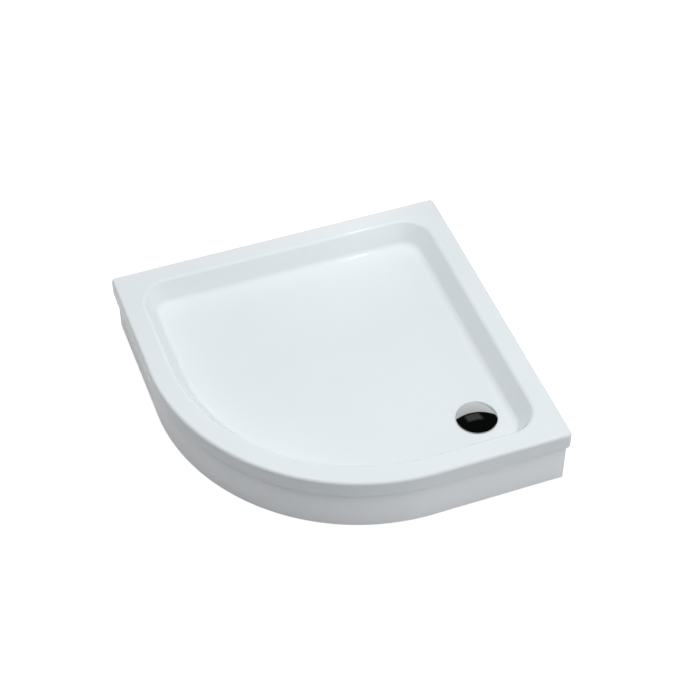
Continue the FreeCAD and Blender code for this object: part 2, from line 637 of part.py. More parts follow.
def dome(radius, bottom):
    """Solid cap under a sphere about the cover's centre, down to a height."""
    ball = Part.makeSphere(radius, FreeCAD.Vector(0, 0, COVER_SPHERE_Z))
    return ball.common(rod(COVER_RADIUS, bottom, COVER_SPHERE_Z + radius + OVERCUT))


def drain_cover():
    """Thin domed cover with a short skirt."""
    cover = rod(COVER_RADIUS, COVER_Z, COVER_SPRING_Z).fuse(dome(COVER_SPHERE, COVER_SPRING_Z))
    cover = cover.removeSplitter()
    cover = cover.makeFillet(COVER_EDGE_RADIUS, level_edges(cover, COVER_SPRING_Z))
    inside = rod(COVER_RADIUS - COVER_WALL, COVER_Z - OVERCUT, TRAY_HEIGHT)
    cover = cover.cut(dome(COVER_SPHERE - COVER_WALL, COVER_Z - OVERCUT).common(inside))
    return placed(cover, OUTLET_X, OUTLET_Y)


def cover_legs():
    """Plastic ring under the cover, with legs that stand on the insert's collar and dip into its bore."""
    tongue_outer = INSERT_BORE - TONGUE_CLEARANCE
    carrier = ring(CARRIER_RADIUS - CARRIER_WALL, CARRIER_RADIUS, COVER_Z, TRAY_HEIGHT)
    half = TONGUE_WIDTH / 2
    inner = tongue_outer - CARRIER_WALL
    for k in range(LEG_TONGUES):
        tongue = block(inner, tongue_outer, -half, half, COLLAR_TOP_Z - TONGUE_DROP, COVER_SPRING_Z)
        shoulder = block(inner, INSERT_BORE + SHOULDER_REACH, -half, half, COLLAR_TOP_Z, COVER_SPRING_Z)
        carrier = carrier.fuse(placed(tongue.fuse(shoulder), 0, 0, 360 * (k + 0.5) / LEG_TONGUES))
    carrier = carrier.common(dome(COVER_SPHERE - COVER_WALL, NECK_Z)).removeSplitter()
    return placed(carrier, OUTLET_X, OUTLET_Y)


def outlet_nut():
    """Ribbed union nut that draws the pipe's seal against the port."""
    start = PORT_END - OUTLET_NUT_GRIP
    lip_start = PORT_END + OUTLET_SEAL_LENGTH
    end = lip_start + OUTLET_NUT_LIP
    outer = PORT_RADIUS + OUTLET_NUT_WALL
    nut = along_x(outer, start, end, PIPE_Z)
    axis = FreeCAD.Vector(0, 0, PIPE_Z)
    for k in range(OUTLET_NUT_RIBS):
        half = OUTLET_NUT_RIB_WIDTH / 2
        rib = block(start, lip_start, -half, half, PIPE_Z, PIPE_Z + outer + OUTLET_NUT_RIB)
        rib.rotate(axis, FreeCAD.Vector(1, 0, 0), 360 * k / OUTLET_NUT_RIBS)
        nut = nut.fuse(rib)
    nut = nut.removeSplitter()
    nut = nut.cut(along_x(PORT_RADIUS + THREAD_CLEARANCE, start - OVERCUT, lip_start, PIPE_Z))
    nut = nut.cut(along_x(PIPE_RADIUS + PORT_SOCKET_CLEARANCE, start - OVERCUT, end + OVERCUT, PIPE_Z))
    return placed(nut, OUTLET_X, OUTLET_Y)


def outlet_seal():
    """Rubber ring round the pipe, between the port and the nut's lip."""
    end = PORT_END + OUTLET_SEAL_LENGTH
    seal = along_x(PIPE_RADIUS + OUTLET_SEAL_WALL, PORT_END, end, PIPE_Z)
    seal = seal.cut(along_x(PIPE_RADIUS + PORT_SOCKET_CLEARANCE, PORT_END - OVERCUT, end + OVERCUT, PIPE_Z))
    return placed(seal, OUTLET_X, OUTLET_Y)


def outlet_pipe():
    """Pipe out of the trap towards the wall, with a stop bead outside the nut."""
    stop = PORT_END + OUTLET_SEAL_LENGTH + OUTLET_NUT_LIP + GASKET_CLEARANCE
    end = PIPE_START + PIPE_LENGTH
    pipe = along_x(PIPE_RADIUS, PIPE_START, end, PIPE_Z)
    pipe = pipe.fuse(along_x(PIPE_STOP_RADIUS, stop, stop + PIPE_STOP_WIDTH, PIPE_Z))
    pipe = pipe.cut(along_x(PIPE_BORE, PIPE_START - OVERCUT, end + OVERCUT, PIPE_Z))
    return placed(pipe, OUTLET_X, OUTLET_Y)


def build():
    """Every piece of the tray, by name."""
    pieces = {
        "tray_shell": tray_shell(),
        "resin_backing": resin_backing(),
        "base_board": base_board(),
        "socket_screws": screws(leg_screw_places(), BOARD_Z - LEG_FLANGE_THICKNESS),
        "bracket_screws": screws(bracket_screw_places(), BOARD_Z - BRACKET_STEEL),
        "lock_nuts": Part.makeCompound([placed(lock_nut(), x, y) for x, y in LEG_PLACES.values()]),
        "front_panel": front_panel(),
        "panel_magnets": at_brackets(panel_magnet()),
        "strike_plates": at_brackets(strike_plate()),
        "waste_flange": waste_flange(),
        "upper_gasket": upper_gasket(),
        "lower_gasket": lower_gasket(),
        "trap_body": trap_body(),
        "trap_insert": trap_insert(),
        "insert_seal": insert_seal(),
        "drain_cover": drain_cover(),
        "cover_legs": cover_legs(),
        "outlet_nut": outlet_nut(),
        "outlet_seal": outlet_seal(),
        "outlet_pipe": outlet_pipe(),
    }
    for name, (x, y) in LEG_PLACES.items():
        pieces["leg_socket_" + name] = placed(leg_socket(), x, y)
        pieces["leg_stem_" + name] = placed(leg_stem(), x, y)
        pieces["foot_pad_" + name] = placed(foot_pad(), x, y)
    for name, angle in zip(BRACKET_NAMES, BRACKET_ANGLES):
        pieces["panel_bracket_" + name] = placed(panel_bracket(), *bracket_frame(angle))
    return pieces


os.makedirs("parts", exist_ok=True)
for piece_name, piece in build().items():
    piece.exportStep("parts/" + piece_name + ".step")
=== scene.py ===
import json
import math

import bmesh
import bpy
from mathutils import Matrix, Vector

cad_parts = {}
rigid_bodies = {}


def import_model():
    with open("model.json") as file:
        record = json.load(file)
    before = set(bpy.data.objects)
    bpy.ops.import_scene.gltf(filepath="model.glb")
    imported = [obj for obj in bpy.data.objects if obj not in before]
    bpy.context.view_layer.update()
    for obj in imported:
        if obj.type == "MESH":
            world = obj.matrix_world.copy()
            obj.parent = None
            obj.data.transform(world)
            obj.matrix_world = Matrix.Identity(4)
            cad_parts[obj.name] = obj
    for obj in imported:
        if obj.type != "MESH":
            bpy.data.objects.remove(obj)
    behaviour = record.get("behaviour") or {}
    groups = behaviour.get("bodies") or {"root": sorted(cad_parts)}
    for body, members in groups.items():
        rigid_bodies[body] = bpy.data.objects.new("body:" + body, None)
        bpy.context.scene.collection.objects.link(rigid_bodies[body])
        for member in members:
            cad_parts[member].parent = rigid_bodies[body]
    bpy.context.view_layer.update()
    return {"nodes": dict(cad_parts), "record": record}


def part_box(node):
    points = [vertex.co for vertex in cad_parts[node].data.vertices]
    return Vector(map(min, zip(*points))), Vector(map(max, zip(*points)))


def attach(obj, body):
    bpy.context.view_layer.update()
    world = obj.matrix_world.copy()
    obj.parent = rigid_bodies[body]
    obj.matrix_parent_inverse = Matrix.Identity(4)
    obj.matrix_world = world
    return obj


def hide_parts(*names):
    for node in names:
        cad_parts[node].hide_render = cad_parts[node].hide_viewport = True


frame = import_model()

# Quadrant shower tray, dressed. Metres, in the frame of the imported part: floor at z = 0,
# walls at +X and +Y, round front towards -X and -Y.
MM = 0.001

# How near counts as the same place, how near points are welded, and how far roots and cutting tools overshoot
NEAR = 0.1 * MM
WELD = 0.001 * MM
CAD_WELD = 0.002 * MM
OVER = 1 * MM

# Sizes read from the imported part
shell_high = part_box("tray_shell")[1]
panel_low, panel_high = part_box("front_panel")
dome_low, dome_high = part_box("drain_cover")
HALF_SIDE = shell_high.x
RIM_Z = shell_high.z
OUTLET = (dome_low + dome_high) / 2
DOME_RADIUS = (dome_high.x - dome_low.x) / 2
PANEL_SIDE = panel_low.x
PANEL_END = panel_high.x

# Body and material slot of each node
BODY_OF = {node: body for body, nodes in frame["record"]["behaviour"]["bodies"].items() for node in nodes}
SLOT_OF = {part["node"]: part["material_slot"] for part in frame["record"]["subparts"]}

# Tray, as in the part's drawing
FRONT_RADIUS = 550 * MM
OUTER_CORNER = 12 * MM
LIP_HEIGHT = 46 * MM
RIM_WIDTH = 55 * MM
SHELL_WALL = 5 * MM
RIM_EDGE = 8 * MM
BASIN_DEPTH = 60 * MM
MEAN_DEPTH = 55 * MM
BASIN_CORNER = 75 * MM
BASIN_EDGE = 12 * MM
WALL_LEAN = math.radians(32)
FLOOR_FALL = 0.01
FLOOR_FILLET = 22 * MM
SEAT_RADIUS = 51 * MM
SEAT_DEPTH = 5 * MM
SEAT_EDGE = 2 * MM
OUTLET_HOLE = 45 * MM
FRONT_CENTRE = FRONT_RADIUS - HALF_SIDE
LIP_Z = RIM_Z - LIP_HEIGHT
FLOOR_Z = RIM_Z - BASIN_DEPTH

# Front panel
PANEL_WALL = 4 * MM
PANEL_TOP_FLANGE = 24 * MM
PANEL_BOTTOM_FLANGE = 16 * MM
PANEL_EDGE = 1.5 * MM

# Domed cover
DOME_WALL = 1.5 * MM
DOME_SKIRT = 1.5 * MM
DOME_EDGE = 0.5 * MM

# Board, legs and their screws
BOARD_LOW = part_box("base_board")[0].z
BOARD_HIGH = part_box("base_board")[1].z
BOARD_INSET = HALF_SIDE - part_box("base_board")[1].x
BOARD_CORNER = 20 * MM
NOTCH_REACH = 80 * MM
STEM_HOLE = 8 * MM
LEGS = ("back_left", "back_right", "right", "front", "front_left")
STEM_RADIUS = 6 * MM
STEM_BORE = 6.08 * MM
STEM_PITCH = 1.75 * MM
THREAD_DEPTH = 1.0 * MM
THREAD_CREST = 0.09 * STEM_PITCH
THREAD_ROOT = 0.47 * STEM_PITCH
STEM_END = 0.8 * MM
STEM_LOW = 4 * MM
HEX_FACE_SHARE = 0.475
HEX_CHAMFER = math.radians(30)
STEM_HEX = 17 * MM
STEM_HEX_LOW = 12.5 * MM
STEM_HEX_HIGH = 18.5 * MM
NUT_HEX = 19 * MM
NUT_HIGH = 68 * MM
NUT_LOW = 58 * MM
FOOT_RADIUS = 24 * MM
FOOT_HEIGHT = 12 * MM
FOOT_NECK = 13 * MM
FOOT_EDGE = 2 * MM
FOOT_SIDE_HIGH = 6 * MM
FOOT_FIELDS = 8
FIELD_HALF_ANGLE = math.radians(16)
FIELD_DEPTH = 0.9 * MM
TREAD_RADII = (8 * MM, 12 * MM, 16 * MM)
TREAD_WIDTH = 2 * MM
TREAD_SLOPE = 0.5 * MM
TREAD_DEPTH = 0.7 * MM
SOCKET_FLANGE = 35 * MM
SOCKET_PLATE = 4 * MM
SOCKET_BOSS = 13 * MM
BOSS_CHAMFER = 1 * MM
SOCKET_RIBS = 4
RIB_THICKNESS = 4 * MM
RIB_LENGTH = 16 * MM
RIB_HEIGHT = 11 * MM
SCREW_HEAD = 4.2 * MM
SCREW_HEAD_HEIGHT = 2.6 * MM
SCREW_SHANK = 2 * MM
SCREW_LENGTH = 9 * MM
SCREW_TIP = 2 * MM
SCREW_DOME_SHARE = 0.75
SCREW_CIRCLE = 26 * MM
SOCKET_SCREW_TURN = 37
BRACKET_SCREW_TURN = 53
RECESS_REACH = 2.4 * MM
RECESS_HALF = 0.5 * MM
RECESS_DEPTH = 1.5 * MM
RECESS_TAPER = (0.45, 0.6, 1)

# Brackets of the panel: steel angles, their magnets and the plates that these hold
BRACKET_ANGLES = {"left": -38, "front_left": -13, "front_right": 13, "right": 38}
FRONT_BEARING = 225
BRACKET_WIDTH = 30 * MM
BRACKET_STEEL = 3 * MM
BRACKET_BEND = 3 * MM
BRACKET_CORNER = 4 * MM
BRACKET_ARM = 32 * MM
BRACKET_INNER = BOARD_INSET + BRACKET_ARM
BRACKET_SCREW_IN = 9 * MM
BRACKET_SCREW_APART = 14 * MM
TAB_INSET = 22.4 * MM
TAB_HIGH = 121.8 * MM
MAGNET_SIZE = 20 * MM
MAGNET_INSET = 17.9 * MM
MAGNET_BORDER = 4 * MM
MAGNET_FIELD_EDGE = 0.5 * MM
MAGNET_FIELD_DEPTH = 0.8 * MM
MAGNET_Z = (BOARD_LOW + TAB_HIGH) / 2
STRIKE_INSET = 16.1 * MM
STRIKE_WIDTH = 28 * MM
STRIKE_HEIGHT = 24 * MM
STRIKE_STEEL = 1.5 * MM
STRIKE_CORNER = 2.5 * MM

# Waste
SEAT_Z = FLOOR_Z - SEAT_DEPTH
SEAT_UNDER = SEAT_Z - SHELL_WALL
GASKET_IN = 46 * MM
UPPER_GASKET_OUT = 50 * MM
LOWER_GASKET_OUT = 56 * MM
FLANGE_RADIUS = 49.5 * MM
FLANGE_LOW = 111 * MM
FLANGE_HIGH = 113.5 * MM
FLANGE_CHAMFER = 1 * MM
NECK_RADIUS = 43.5 * MM
NECK_BORE = 40 * MM
NECK_LOW = 85 * MM
LEDGE_BORE = 36 * MM
LEDGE_HIGH = 99 * MM
LEDGE_LOW = 96 * MM
TRAP_RADIUS = 52 * MM
TRAP_WALL = 3 * MM
TRAP_LOW = 12 * MM
TRAP_HIGH = 101 * MM
TRAP_TOP_RADIUS = 57 * MM
TRAP_TOP_LOW = 95 * MM
TRAP_FOOT = 8 * MM
TRAP_FILLET = 6 * MM
TRAP_RIBS = 12
TRAP_RIB_HALF = 1.2 * MM
TRAP_RIB_HEIGHT = 14 * MM
TRAP_RIB_BACK = 0.5 * MM
TRAP_RIB_TOE = 0.4 * MM
INSERT_LOW = 22 * MM
INSERT_BORE = 31 * MM
INSERT_TUBE = 33 * MM
COLLAR_RADIUS = 39.6 * MM
COLLAR_HIGH = 104 * MM
SEAL_RADIUS = 1.3 * MM
SEAL_GAP = 0.08 * MM
SEAL_CENTRE = NECK_BORE - SEAL_GAP - SEAL_RADIUS
PLAY = 0.05 * MM
TAB_WIDTH = 10 * MM
TAB_REACH = 7 * MM
TAB_THICKNESS = 2.5 * MM
TAB_CORNER = 3 * MM
PIPE_Z = 62 * MM
PIPE_BORE = 18 * MM
PORT_RADIUS = 23 * MM
PORT_BORE = 20.1 * MM
PORT_REACH = 24 * MM
PORT_END = TRAP_RADIUS + PORT_REACH
PIPE_DEPTH = 8 * MM
PIPE_START = PORT_END - PIPE_DEPTH

# How far the edges of each piece are broken
HEXAGON_BREAK = 0.15 * MM
FOOT_BREAK = 0.3 * MM
SOCKET_BREAK = 0.6 * MM
RIB_BREAK = 0.5 * MM
SCREW_BREAK = 0.1 * MM
BRACKET_BREAK = 0.3 * MM
MAGNET_BREAK = 0.6 * MM
STRIKE_BREAK = 0.2 * MM
BOARD_BREAK = 0.4 * MM
UPPER_GASKET_BREAK = 0.5 * MM
LOWER_GASKET_BREAK = 0.7 * MM
FLANGE_BREAK = 0.4 * MM
RING_BREAK = 0.05 * MM
TUBE_BREAK = 0.3 * MM
TAB_BREAK = 0.5 * MM
TRAP_BREAK = 0.4 * MM
TRAP_RIB_BREAK = 0.3 * MM
CAD_BREAK = 0.3 * MM

# Angles in degrees: sharper edges are broken, flatter ones are shaded smooth, and flat ones are dissolved
BREAK_ANGLE = 35
DOME_BREAK_ANGLE = 40
SMOOTH_ANGLE = 30
DOME_SMOOTH_ANGLE = 60
THREAD_SMOOTH_ANGLE = 25
FLAT_ANGLE = 0.5

# How finely round shapes are divided
FRONT_STEPS = 96
CORNER_STEPS = 14
STRAIGHT_CUTS = 72
FILLET_STEPS = 8
TURN_STEPS = 96
THREAD_STEPS = 24
SCREW_STEPS = 40
SEAT_STEPS = 4
STRIKE_STEPS = 6
RING_STEPS = 16
QUARTER_TURN = [math.pi / 2 * k / FILLET_STEPS for k in range(FILLET_STEPS + 1)]

# Photograph's view: bearing and height of the camera, its roll, its distance and how it is moved sideways
VIEW_AZIMUTH = math.radians(-20.77)
VIEW_ELEVATION = math.radians(46.57)
VIEW_ROLL = math.radians(0.46)
VIEW_DISTANCE = 4.6842
VIEW_RIGHT = 0.0416
VIEW_UP = 0.0079
VIEW_LENS = 96.5

# Studio: light levels, and what mirrors see, placed by the height and bearing of their view, and for the flag
# by the view's slopes to the east and north of straight up
DAYLIGHT = (0.965, 0.985, 1.0)
AMBIENT = 0.06
WALL_FOOT = 0.1
WALL_TOP = 0.7
WALL_FOOT_LEVEL = 0.84
WALL_TOP_LEVEL = 0.57
CEILING_LEVEL = 0.28
BEHIND_SPAN = (-0.8, 0.1)
BEHIND_SHARE = 0.4
LEAST_HEIGHT = 0.05
FLAG_EAST = (-0.7, 1.4)
FLAG_NORTH = (-0.05, 1.03)
FLAG_LEVEL = 0.004
SLIT_EAST = (0.0, 0.5)
SLIT_NORTH = (0.52, 0.9)
SLIT_LEVEL = 0.06
SOFT_EDGE = 0.05
FIRM_EDGE = 0.03
FLOOR_REACH = 40
FLOOR_BOUNCE = "#cccccc"
FLOOR_SHADOWED = (0.5, 0.5, 0.5, 1)
FLOOR_NEAR = 1.2
FLOOR_FAR = 3.0
FLOOR_GLOW = 0.78
FLOOR_FAR_GLOW = 1.0
FLOOR_MIRRORED = 0.40
WHITE = (1, 1, 1, 1)

# Lamps: name, place, aim, size, watts, spread in degrees, and whether mirrors see it
LAMPS = (
    ("top_lamp", (0.0, -0.2, 2.9), (0.0, -0.2, 0), (4.6, 4.6), 118, 180, False),
    ("side_lamp", (3.0, -2.6, 1.4), (0, 0, 0.1), (1.8, 1.8), 36, 180, False),
    ("edge_lamp", (0.40, 0.41, 0.85), (0.2, 0.38, 0.15), (0.20, 0.04), 0.024, 44, True),
)

# Materials: the sockets of a Mix node's two colours, and the range where most of a noise pattern's values lie
FIRST = 6
SECOND = 7
MOST = {"From Min": 0.3, "From Max": 0.7}


def linear(code):
    """Linear colour, with alpha, of an sRGB hex value."""
    parts = [int(code[i:i + 2], 16) / 255 for i in (1, 3, 5)]
    return tuple(p / 12.92 if p <= 0.04045 else ((p + 0.055) / 1.055) ** 2.4 for p in parts) + (1.0,)


def per_mm(size):
    """Texture scale that gives a pattern of a size in millimetres."""
    return 1 / (size * MM)


def add(tree, kind, inputs=None, **settings):
    """Add a node: each input gets a value, or a link from a socket or from a node's first output in use."""
    made = tree.nodes.new("ShaderNode" + kind)
    for name, value in settings.items():
        setattr(made, name, value)
    for name, value in (inputs or {}).items():
        if isinstance(value, bpy.types.Node):
            value = next(output for output in value.outputs if output.enabled)
        if isinstance(value, bpy.types.NodeSocket):
            tree.links.new(value, made.inputs[name])
        else:
            made.inputs[name].default_value = value
    return made


def new_material(name):
    """Material with an empty node tree, its tree and the Object coordinates that its patterns use."""
    material = bpy.data.materials.new(name)
    material.use_nodes = True
    material.node_tree.nodes.clear()
    place = add(material.node_tree, "TexCoord").outputs["Object"]
    return material, material.node_tree, place


def make_material(name, surface, *values):
    """Material whose shader gets its inputs from a surface function."""
    material, tree, place = new_material(name)
    shader = add(tree, "BsdfPrincipled", surface(tree, place, *values))
    add(tree, "OutputMaterial", {"Surface": shader})
    return material


def acrylic_sheet(tree, place, dark, light, gloss_low, gloss_high):
    """Cast acrylic sheet, drawn hot over a mould: clear gloss, a faint long wave, an even white."""
    clouds = add(tree, "TexNoise", {"Vector": place, "Scale": per_mm(240), "Detail": 3})
    shade = add(tree, "Mix", {"Factor": clouds, FIRST: linear(dark), SECOND: linear(light)}, data_type="RGBA")
    wipes = add(tree, "TexNoise", {"Vector": place, "Scale": per_mm(34), "Detail": 4})
    rough = add(tree, "MapRange", {"Value": wipes, **MOST, "To Min": gloss_low, "To Max": gloss_high})
    wave = add(tree, "TexNoise", {"Vector": place, "Scale": per_mm(60), "Detail": 1})
    relief = add(tree, "Bump", {"Height": wave, "Distance": 0.05 * MM})
    return {"Base Color": shade, "Roughness": rough, "IOR": 1.49, "Normal": relief}


def glass_laminate(tree, place):
    """Chopped glass strand in polyester, rolled on by hand: straw-coloured, crossed, lumpy and dull."""
    strands = 0.0
    for bearing in (0.3, 1.1, 1.9, 2.7):
        along = add(tree, "Mapping", {"Vector": place, "Rotation": (0.4, 0.3, bearing),
                                      "Scale": (16.0, 1.0, 1.0)}, vector_type="TEXTURE")
        strand = add(tree, "TexNoise", {"Vector": along, "Scale": per_mm(1.8), "Detail": 1})
        strands = add(tree, "Math", {0: strands, 1: strand}, operation="MAXIMUM")
    fibre = add(tree, "MapRange", {"Value": strands, "From Min": 0.56, "From Max": 0.74})
    shade = add(tree, "Mix", {"Factor": fibre, FIRST: linear("#b5ac8c"), SECOND: linear("#d8d2bb")},
                data_type="RGBA")
    lumps = add(tree, "TexNoise", {"Vector": place, "Scale": per_mm(45), "Detail": 3})
    height = add(tree, "Math", {0: fibre, 1: lumps, 2: 0.5}, operation="MULTIPLY_ADD")
    rough = add(tree, "MapRange", {"Value": lumps, **MOST, "To Min": 0.42, "To Max": 0.62})
    relief = add(tree, "Bump", {"Height": height, "Distance": 0.35 * MM})
    return {"Base Color": shade, "Roughness": rough, "IOR": 1.54, "Normal": relief}


def chipboard(tree, place):
    """Raw chipboard: pressed wood chips of a few millimetres, each its own brown, with a rough cut face."""
    flat = add(tree, "Mapping", {"Vector": place, "Scale": (1.0, 0.55, 1.6)})
    chips = add(tree, "TexVoronoi", {"Vector": flat, "Scale": per_mm(2.6)})
    tone = add(tree, "SeparateColor", {"Color": chips.outputs["Color"]})
    grain = add(tree, "TexNoise", {"Vector": flat, "Scale": per_mm(1.2), "Detail": 3})
    mixed = add(tree, "Math", {0: tone, 1: 0.65, 2: grain}, operation="MULTIPLY_ADD")
    brown = add(tree, "MapRange", {"Value": mixed, "From Min": 0.4, "From Max": 1.15})
    shade = add(tree, "Mix", {"Factor": brown, FIRST: linear("#8a6a43"), SECOND: linear("#d0b385")},
                data_type="RGBA")
    rough = add(tree, "MapRange", {"Value": grain, **MOST, "To Min": 0.65, "To Max": 0.85})
    relief = add(tree, "Bump", {"Height": mixed, "Distance": 0.25 * MM})
    return {"Base Color": shade, "Roughness": rough, "Normal": relief}


def zinc_steel(tree, place):
    """Bright zinc plate on steel: a cool metal with faint clouds of passivation."""
    clouds = add(tree, "TexNoise", {"Vector": place, "Scale": per_mm(14), "Detail": 4})
    tint = add(tree, "MapRange", {"Value": clouds, "From Min": 0.35, "From Max": 0.65})
    shade = add(tree, "Mix", {"Factor": tint, FIRST: linear("#b4b9bf"), SECOND: linear("#cfcfc6")},
                data_type="RGBA")
    # Crystals of the plating, drawn coarser than real ones so that they show
    crystals = add(tree, "TexNoise", {"Vector": place, "Scale": per_mm(1.5), "Detail": 2})
    rough = add(tree, "MapRange", {"Value": crystals, **MOST, "To Min": 0.24, "To Max": 0.40})
    relief = add(tree, "Bump", {"Height": crystals, "Distance": 0.02 * MM})
    return {"Base Color": shade, "Metallic": 1.0, "Roughness": rough, "Normal": relief}


def moulded(tree, place, dark, light, rough_low, rough_high, grain_size, grain_height, index):
    """Moulded plastic or rubber: an even colour with flow clouds, and the mould's grain in its gloss."""
    flow = add(tree, "TexNoise", {"Vector": place, "Scale": per_mm(30), "Detail": 3})
    tint = add(tree, "MapRange", {"Value": flow, **MOST})
    shade = add(tree, "Mix", {"Factor": tint, FIRST: linear(dark), SECOND: linear(light)}, data_type="RGBA")
    # Grain of the mould, drawn coarser than a real one so that it shows
    grain = add(tree, "TexNoise", {"Vector": place, "Scale": per_mm(grain_size), "Detail": 2})
    rough = add(tree, "MapRange", {"Value": grain, **MOST, "To Min": rough_low, "To Max": rough_high})
    relief = add(tree, "Bump", {"Height": grain, "Distance": grain_height * MM})
    return {"Base Color": shade, "Roughness": rough, "IOR": index, "Normal": relief}


def polished_chrome(tree, place):
    """Chrome plate, polished: mirror bright, with wipe marks only in its gloss."""
    wipes = add(tree, "TexNoise", {"Vector": place, "Scale": per_mm(9), "Detail": 4})
    rough = add(tree, "MapRange", {"Value": wipes, "From Min": 0.35, "From Max": 0.7,
                                   "To Min": 0.03, "To Max": 0.07})
    return {"Base Color": linear("#dcdfe1"), "Metallic": 1.0, "Roughness": rough}


def ferrite(tree, place):
    """Sintered ferrite: dark grey ceramic with a granular, dusty face."""
    # Grit, drawn coarser than real ferrite so that it shows
    grit = add(tree, "TexNoise", {"Vector": place, "Scale": per_mm(0.8), "Detail": 4, "Roughness": 0.7})
    tint = add(tree, "MapRange", {"Value": grit, **MOST})
    shade = add(tree, "Mix", {"Factor": tint, FIRST: linear("#26262a"), SECOND: linear("#3d3d42")},
                data_type="RGBA")
    rough = add(tree, "MapRange", {"Value": grit, **MOST, "To Min": 0.5, "To Max": 0.75})
    relief = add(tree, "Bump", {"Height": grit, "Distance": 0.08 * MM})
    return {"Base Color": shade, "Roughness": rough, "Normal": relief}


MATERIALS = {
    "sanitary_acrylic": make_material("cast_acrylic_white", acrylic_sheet, "#e3e8ea", "#e9edee", 0.06, 0.10),
    # The panel's sheet is set whiter than the tray's acrylic. Part of this is painted light: it stands for
    # bounce light from the floor, which reaches the panel more than the lip above it.
    "panel_acrylic": make_material("sheet_acrylic_white", acrylic_sheet, "#f9fbfd", "#fbfcfe", 0.24, 0.26),
    "laminate": make_material("glass_fibre_laminate", glass_laminate),
    "chipboard": make_material("chipboard_raw", chipboard),
    "zinc_steel": make_material("zinc_plated_steel", zinc_steel),
    "chrome": make_material("polished_chrome", polished_chrome),
    "magnet": make_material("ferrite_magnet", ferrite),
}

# Moulded materials: two colours, roughness from and to, size and height of the grain in millimetres, and IOR
MOULDED = {
    "black_nylon": ("#141415", "#1d1d1f", 0.42, 0.6, 0.7, 0.03, 1.53),
    "white_polypropylene": ("#dcdcd6", "#e6e6e1", 0.3, 0.45, 1.2, 0.03, 1.49),
    "grey_polypropylene": ("#83878a", "#92969a", 0.34, 0.5, 1.2, 0.03, 1.49),
    "black_rubber": ("#121212", "#1a1a19", 0.6, 0.8, 0.9, 0.05, 1.52),
}
for name, values in MOULDED.items():
    MATERIALS[name] = make_material(name, moulded, *values)


def begin():
    """Open an empty mesh in edit mode, with everything else deselected."""
    bpy.ops.object.select_all(action="DESELECT")
    bpy.ops.mesh.primitive_plane_add(enter_editmode=True)
    bpy.ops.mesh.delete(type="VERT")


def pick(kind, test):
    """Select, in the mesh in hand, the vertices, edges or faces that pass a test, and nothing else."""
    bpy.ops.mesh.select_mode(type=kind)
    bpy.ops.mesh.select_all(action="DESELECT")
    mesh = bpy.context.object.data
    shape = bmesh.from_edit_mesh(mesh)
    items = {"VERT": shape.verts, "EDGE": shape.edges, "FACE": shape.faces}[kind]
    for item in items:
        if not item.hide and test(item):
            item.select_set(True)
    shape.select_flush_mode()
    bmesh.update_edit_mesh(mesh)


def weld(distance):
    """Merge the points of the mesh in hand that lie nearer than a distance."""
    bpy.ops.mesh.select_all(action="SELECT")
    bpy.ops.mesh.remove_doubles(threshold=distance)


def face_outwards():
    """Turn all faces of the mesh in hand outwards."""
    bpy.ops.mesh.select_all(action="SELECT")
    bpy.ops.mesh.normals_make_consistent(inside=False)


def pull_edges(x, y, z):
    """Extrude the chosen edges by a step."""
    bpy.ops.mesh.extrude_edges_move(TRANSFORM_OT_translate={"value": (x, y, z)})


def middle(item):
    """Middle of an edge or a face."""
    return sum((v.co for v in item.verts), Vector()) / len(item.verts)


def apply_modifier(kind, **settings):
    """Give the active object a modifier and apply it."""
    bpy.ops.object.modifier_add(type=kind)
    modifier = bpy.context.object.modifiers[-1]
    for name, value in settings.items():
        setattr(modifier, name, value)
    bpy.ops.object.modifier_apply(modifier=modifier.name)


def smooth(degrees=SMOOTH_ANGLE):
    """Shade the active object smooth across edges flatter than an angle."""
    bpy.ops.object.shade_smooth_by_angle(angle=math.radians(degrees))
    apply_modifier("WEIGHTED_NORMAL", keep_sharp=True, weight=80)


def close_piece(name, slots):
    """Leave edit mode, and name and dress the mesh in hand."""
    if bpy.context.object.mode == "EDIT":
        bpy.ops.object.mode_set(mode="OBJECT")
    piece = bpy.context.object
    piece.name = name
    piece.data.name = name
    piece.data.materials.clear()
    for slot in slots:
        piece.data.materials.append(MATERIALS[slot])
    return piece


def take(piece):
    """Make a piece the one selected and active object."""
    bpy.ops.object.select_all(action="DESELECT")
    bpy.context.view_layer.objects.active = piece
    piece.select_set(True)


def break_edges(edge):
    """Break the sharp edges of the active object."""
    apply_modifier("BEVEL", width=edge, segments=2, limit_method="ANGLE",
                   angle_limit=math.radians(BREAK_ANGLE))


def soften(edge, degrees=SMOOTH_ANGLE):
    """Break the sharp edges of the active object and shade it."""
    break_edges(edge)
    smooth(degrees)


def cut(piece, tool, operation):
    """Cut, join or trim a piece with a tool, which is used up."""
    take(piece)
    apply_modifier("BOOLEAN", object=tool, operation=operation, solver="EXACT")
    bpy.data.objects.remove(tool)


def join(*pieces):
    """Join pieces into the first one."""
    take(pieces[0])
    for piece in pieces[1:]:
        piece.select_set(True)
    bpy.ops.object.join()
    return pieces[0]


def copies(pattern, places):
    """Copies of a piece, each with its own mesh, at (name, x, y, degrees) places; the pattern is used up."""
    made = []
    for name, x, y, degrees in places:
        take(pattern)
        bpy.ops.object.duplicate(linked=False)
        piece = bpy.context.object
        piece.name = name
        piece.data.name = name
        piece.location = (x, y, 0)
        piece.rotation_euler.z = math.radians(degrees)
        bpy.ops.object.transform_apply(location=True, rotation=True, scale=False)
        made.append(piece)
    bpy.data.objects.remove(pattern)
    return made


def stand_for(piece, body, slot, *nodes):
    """Let a piece ride on a body and stand for CAD nodes."""
    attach(piece, body)
    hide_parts(*nodes)


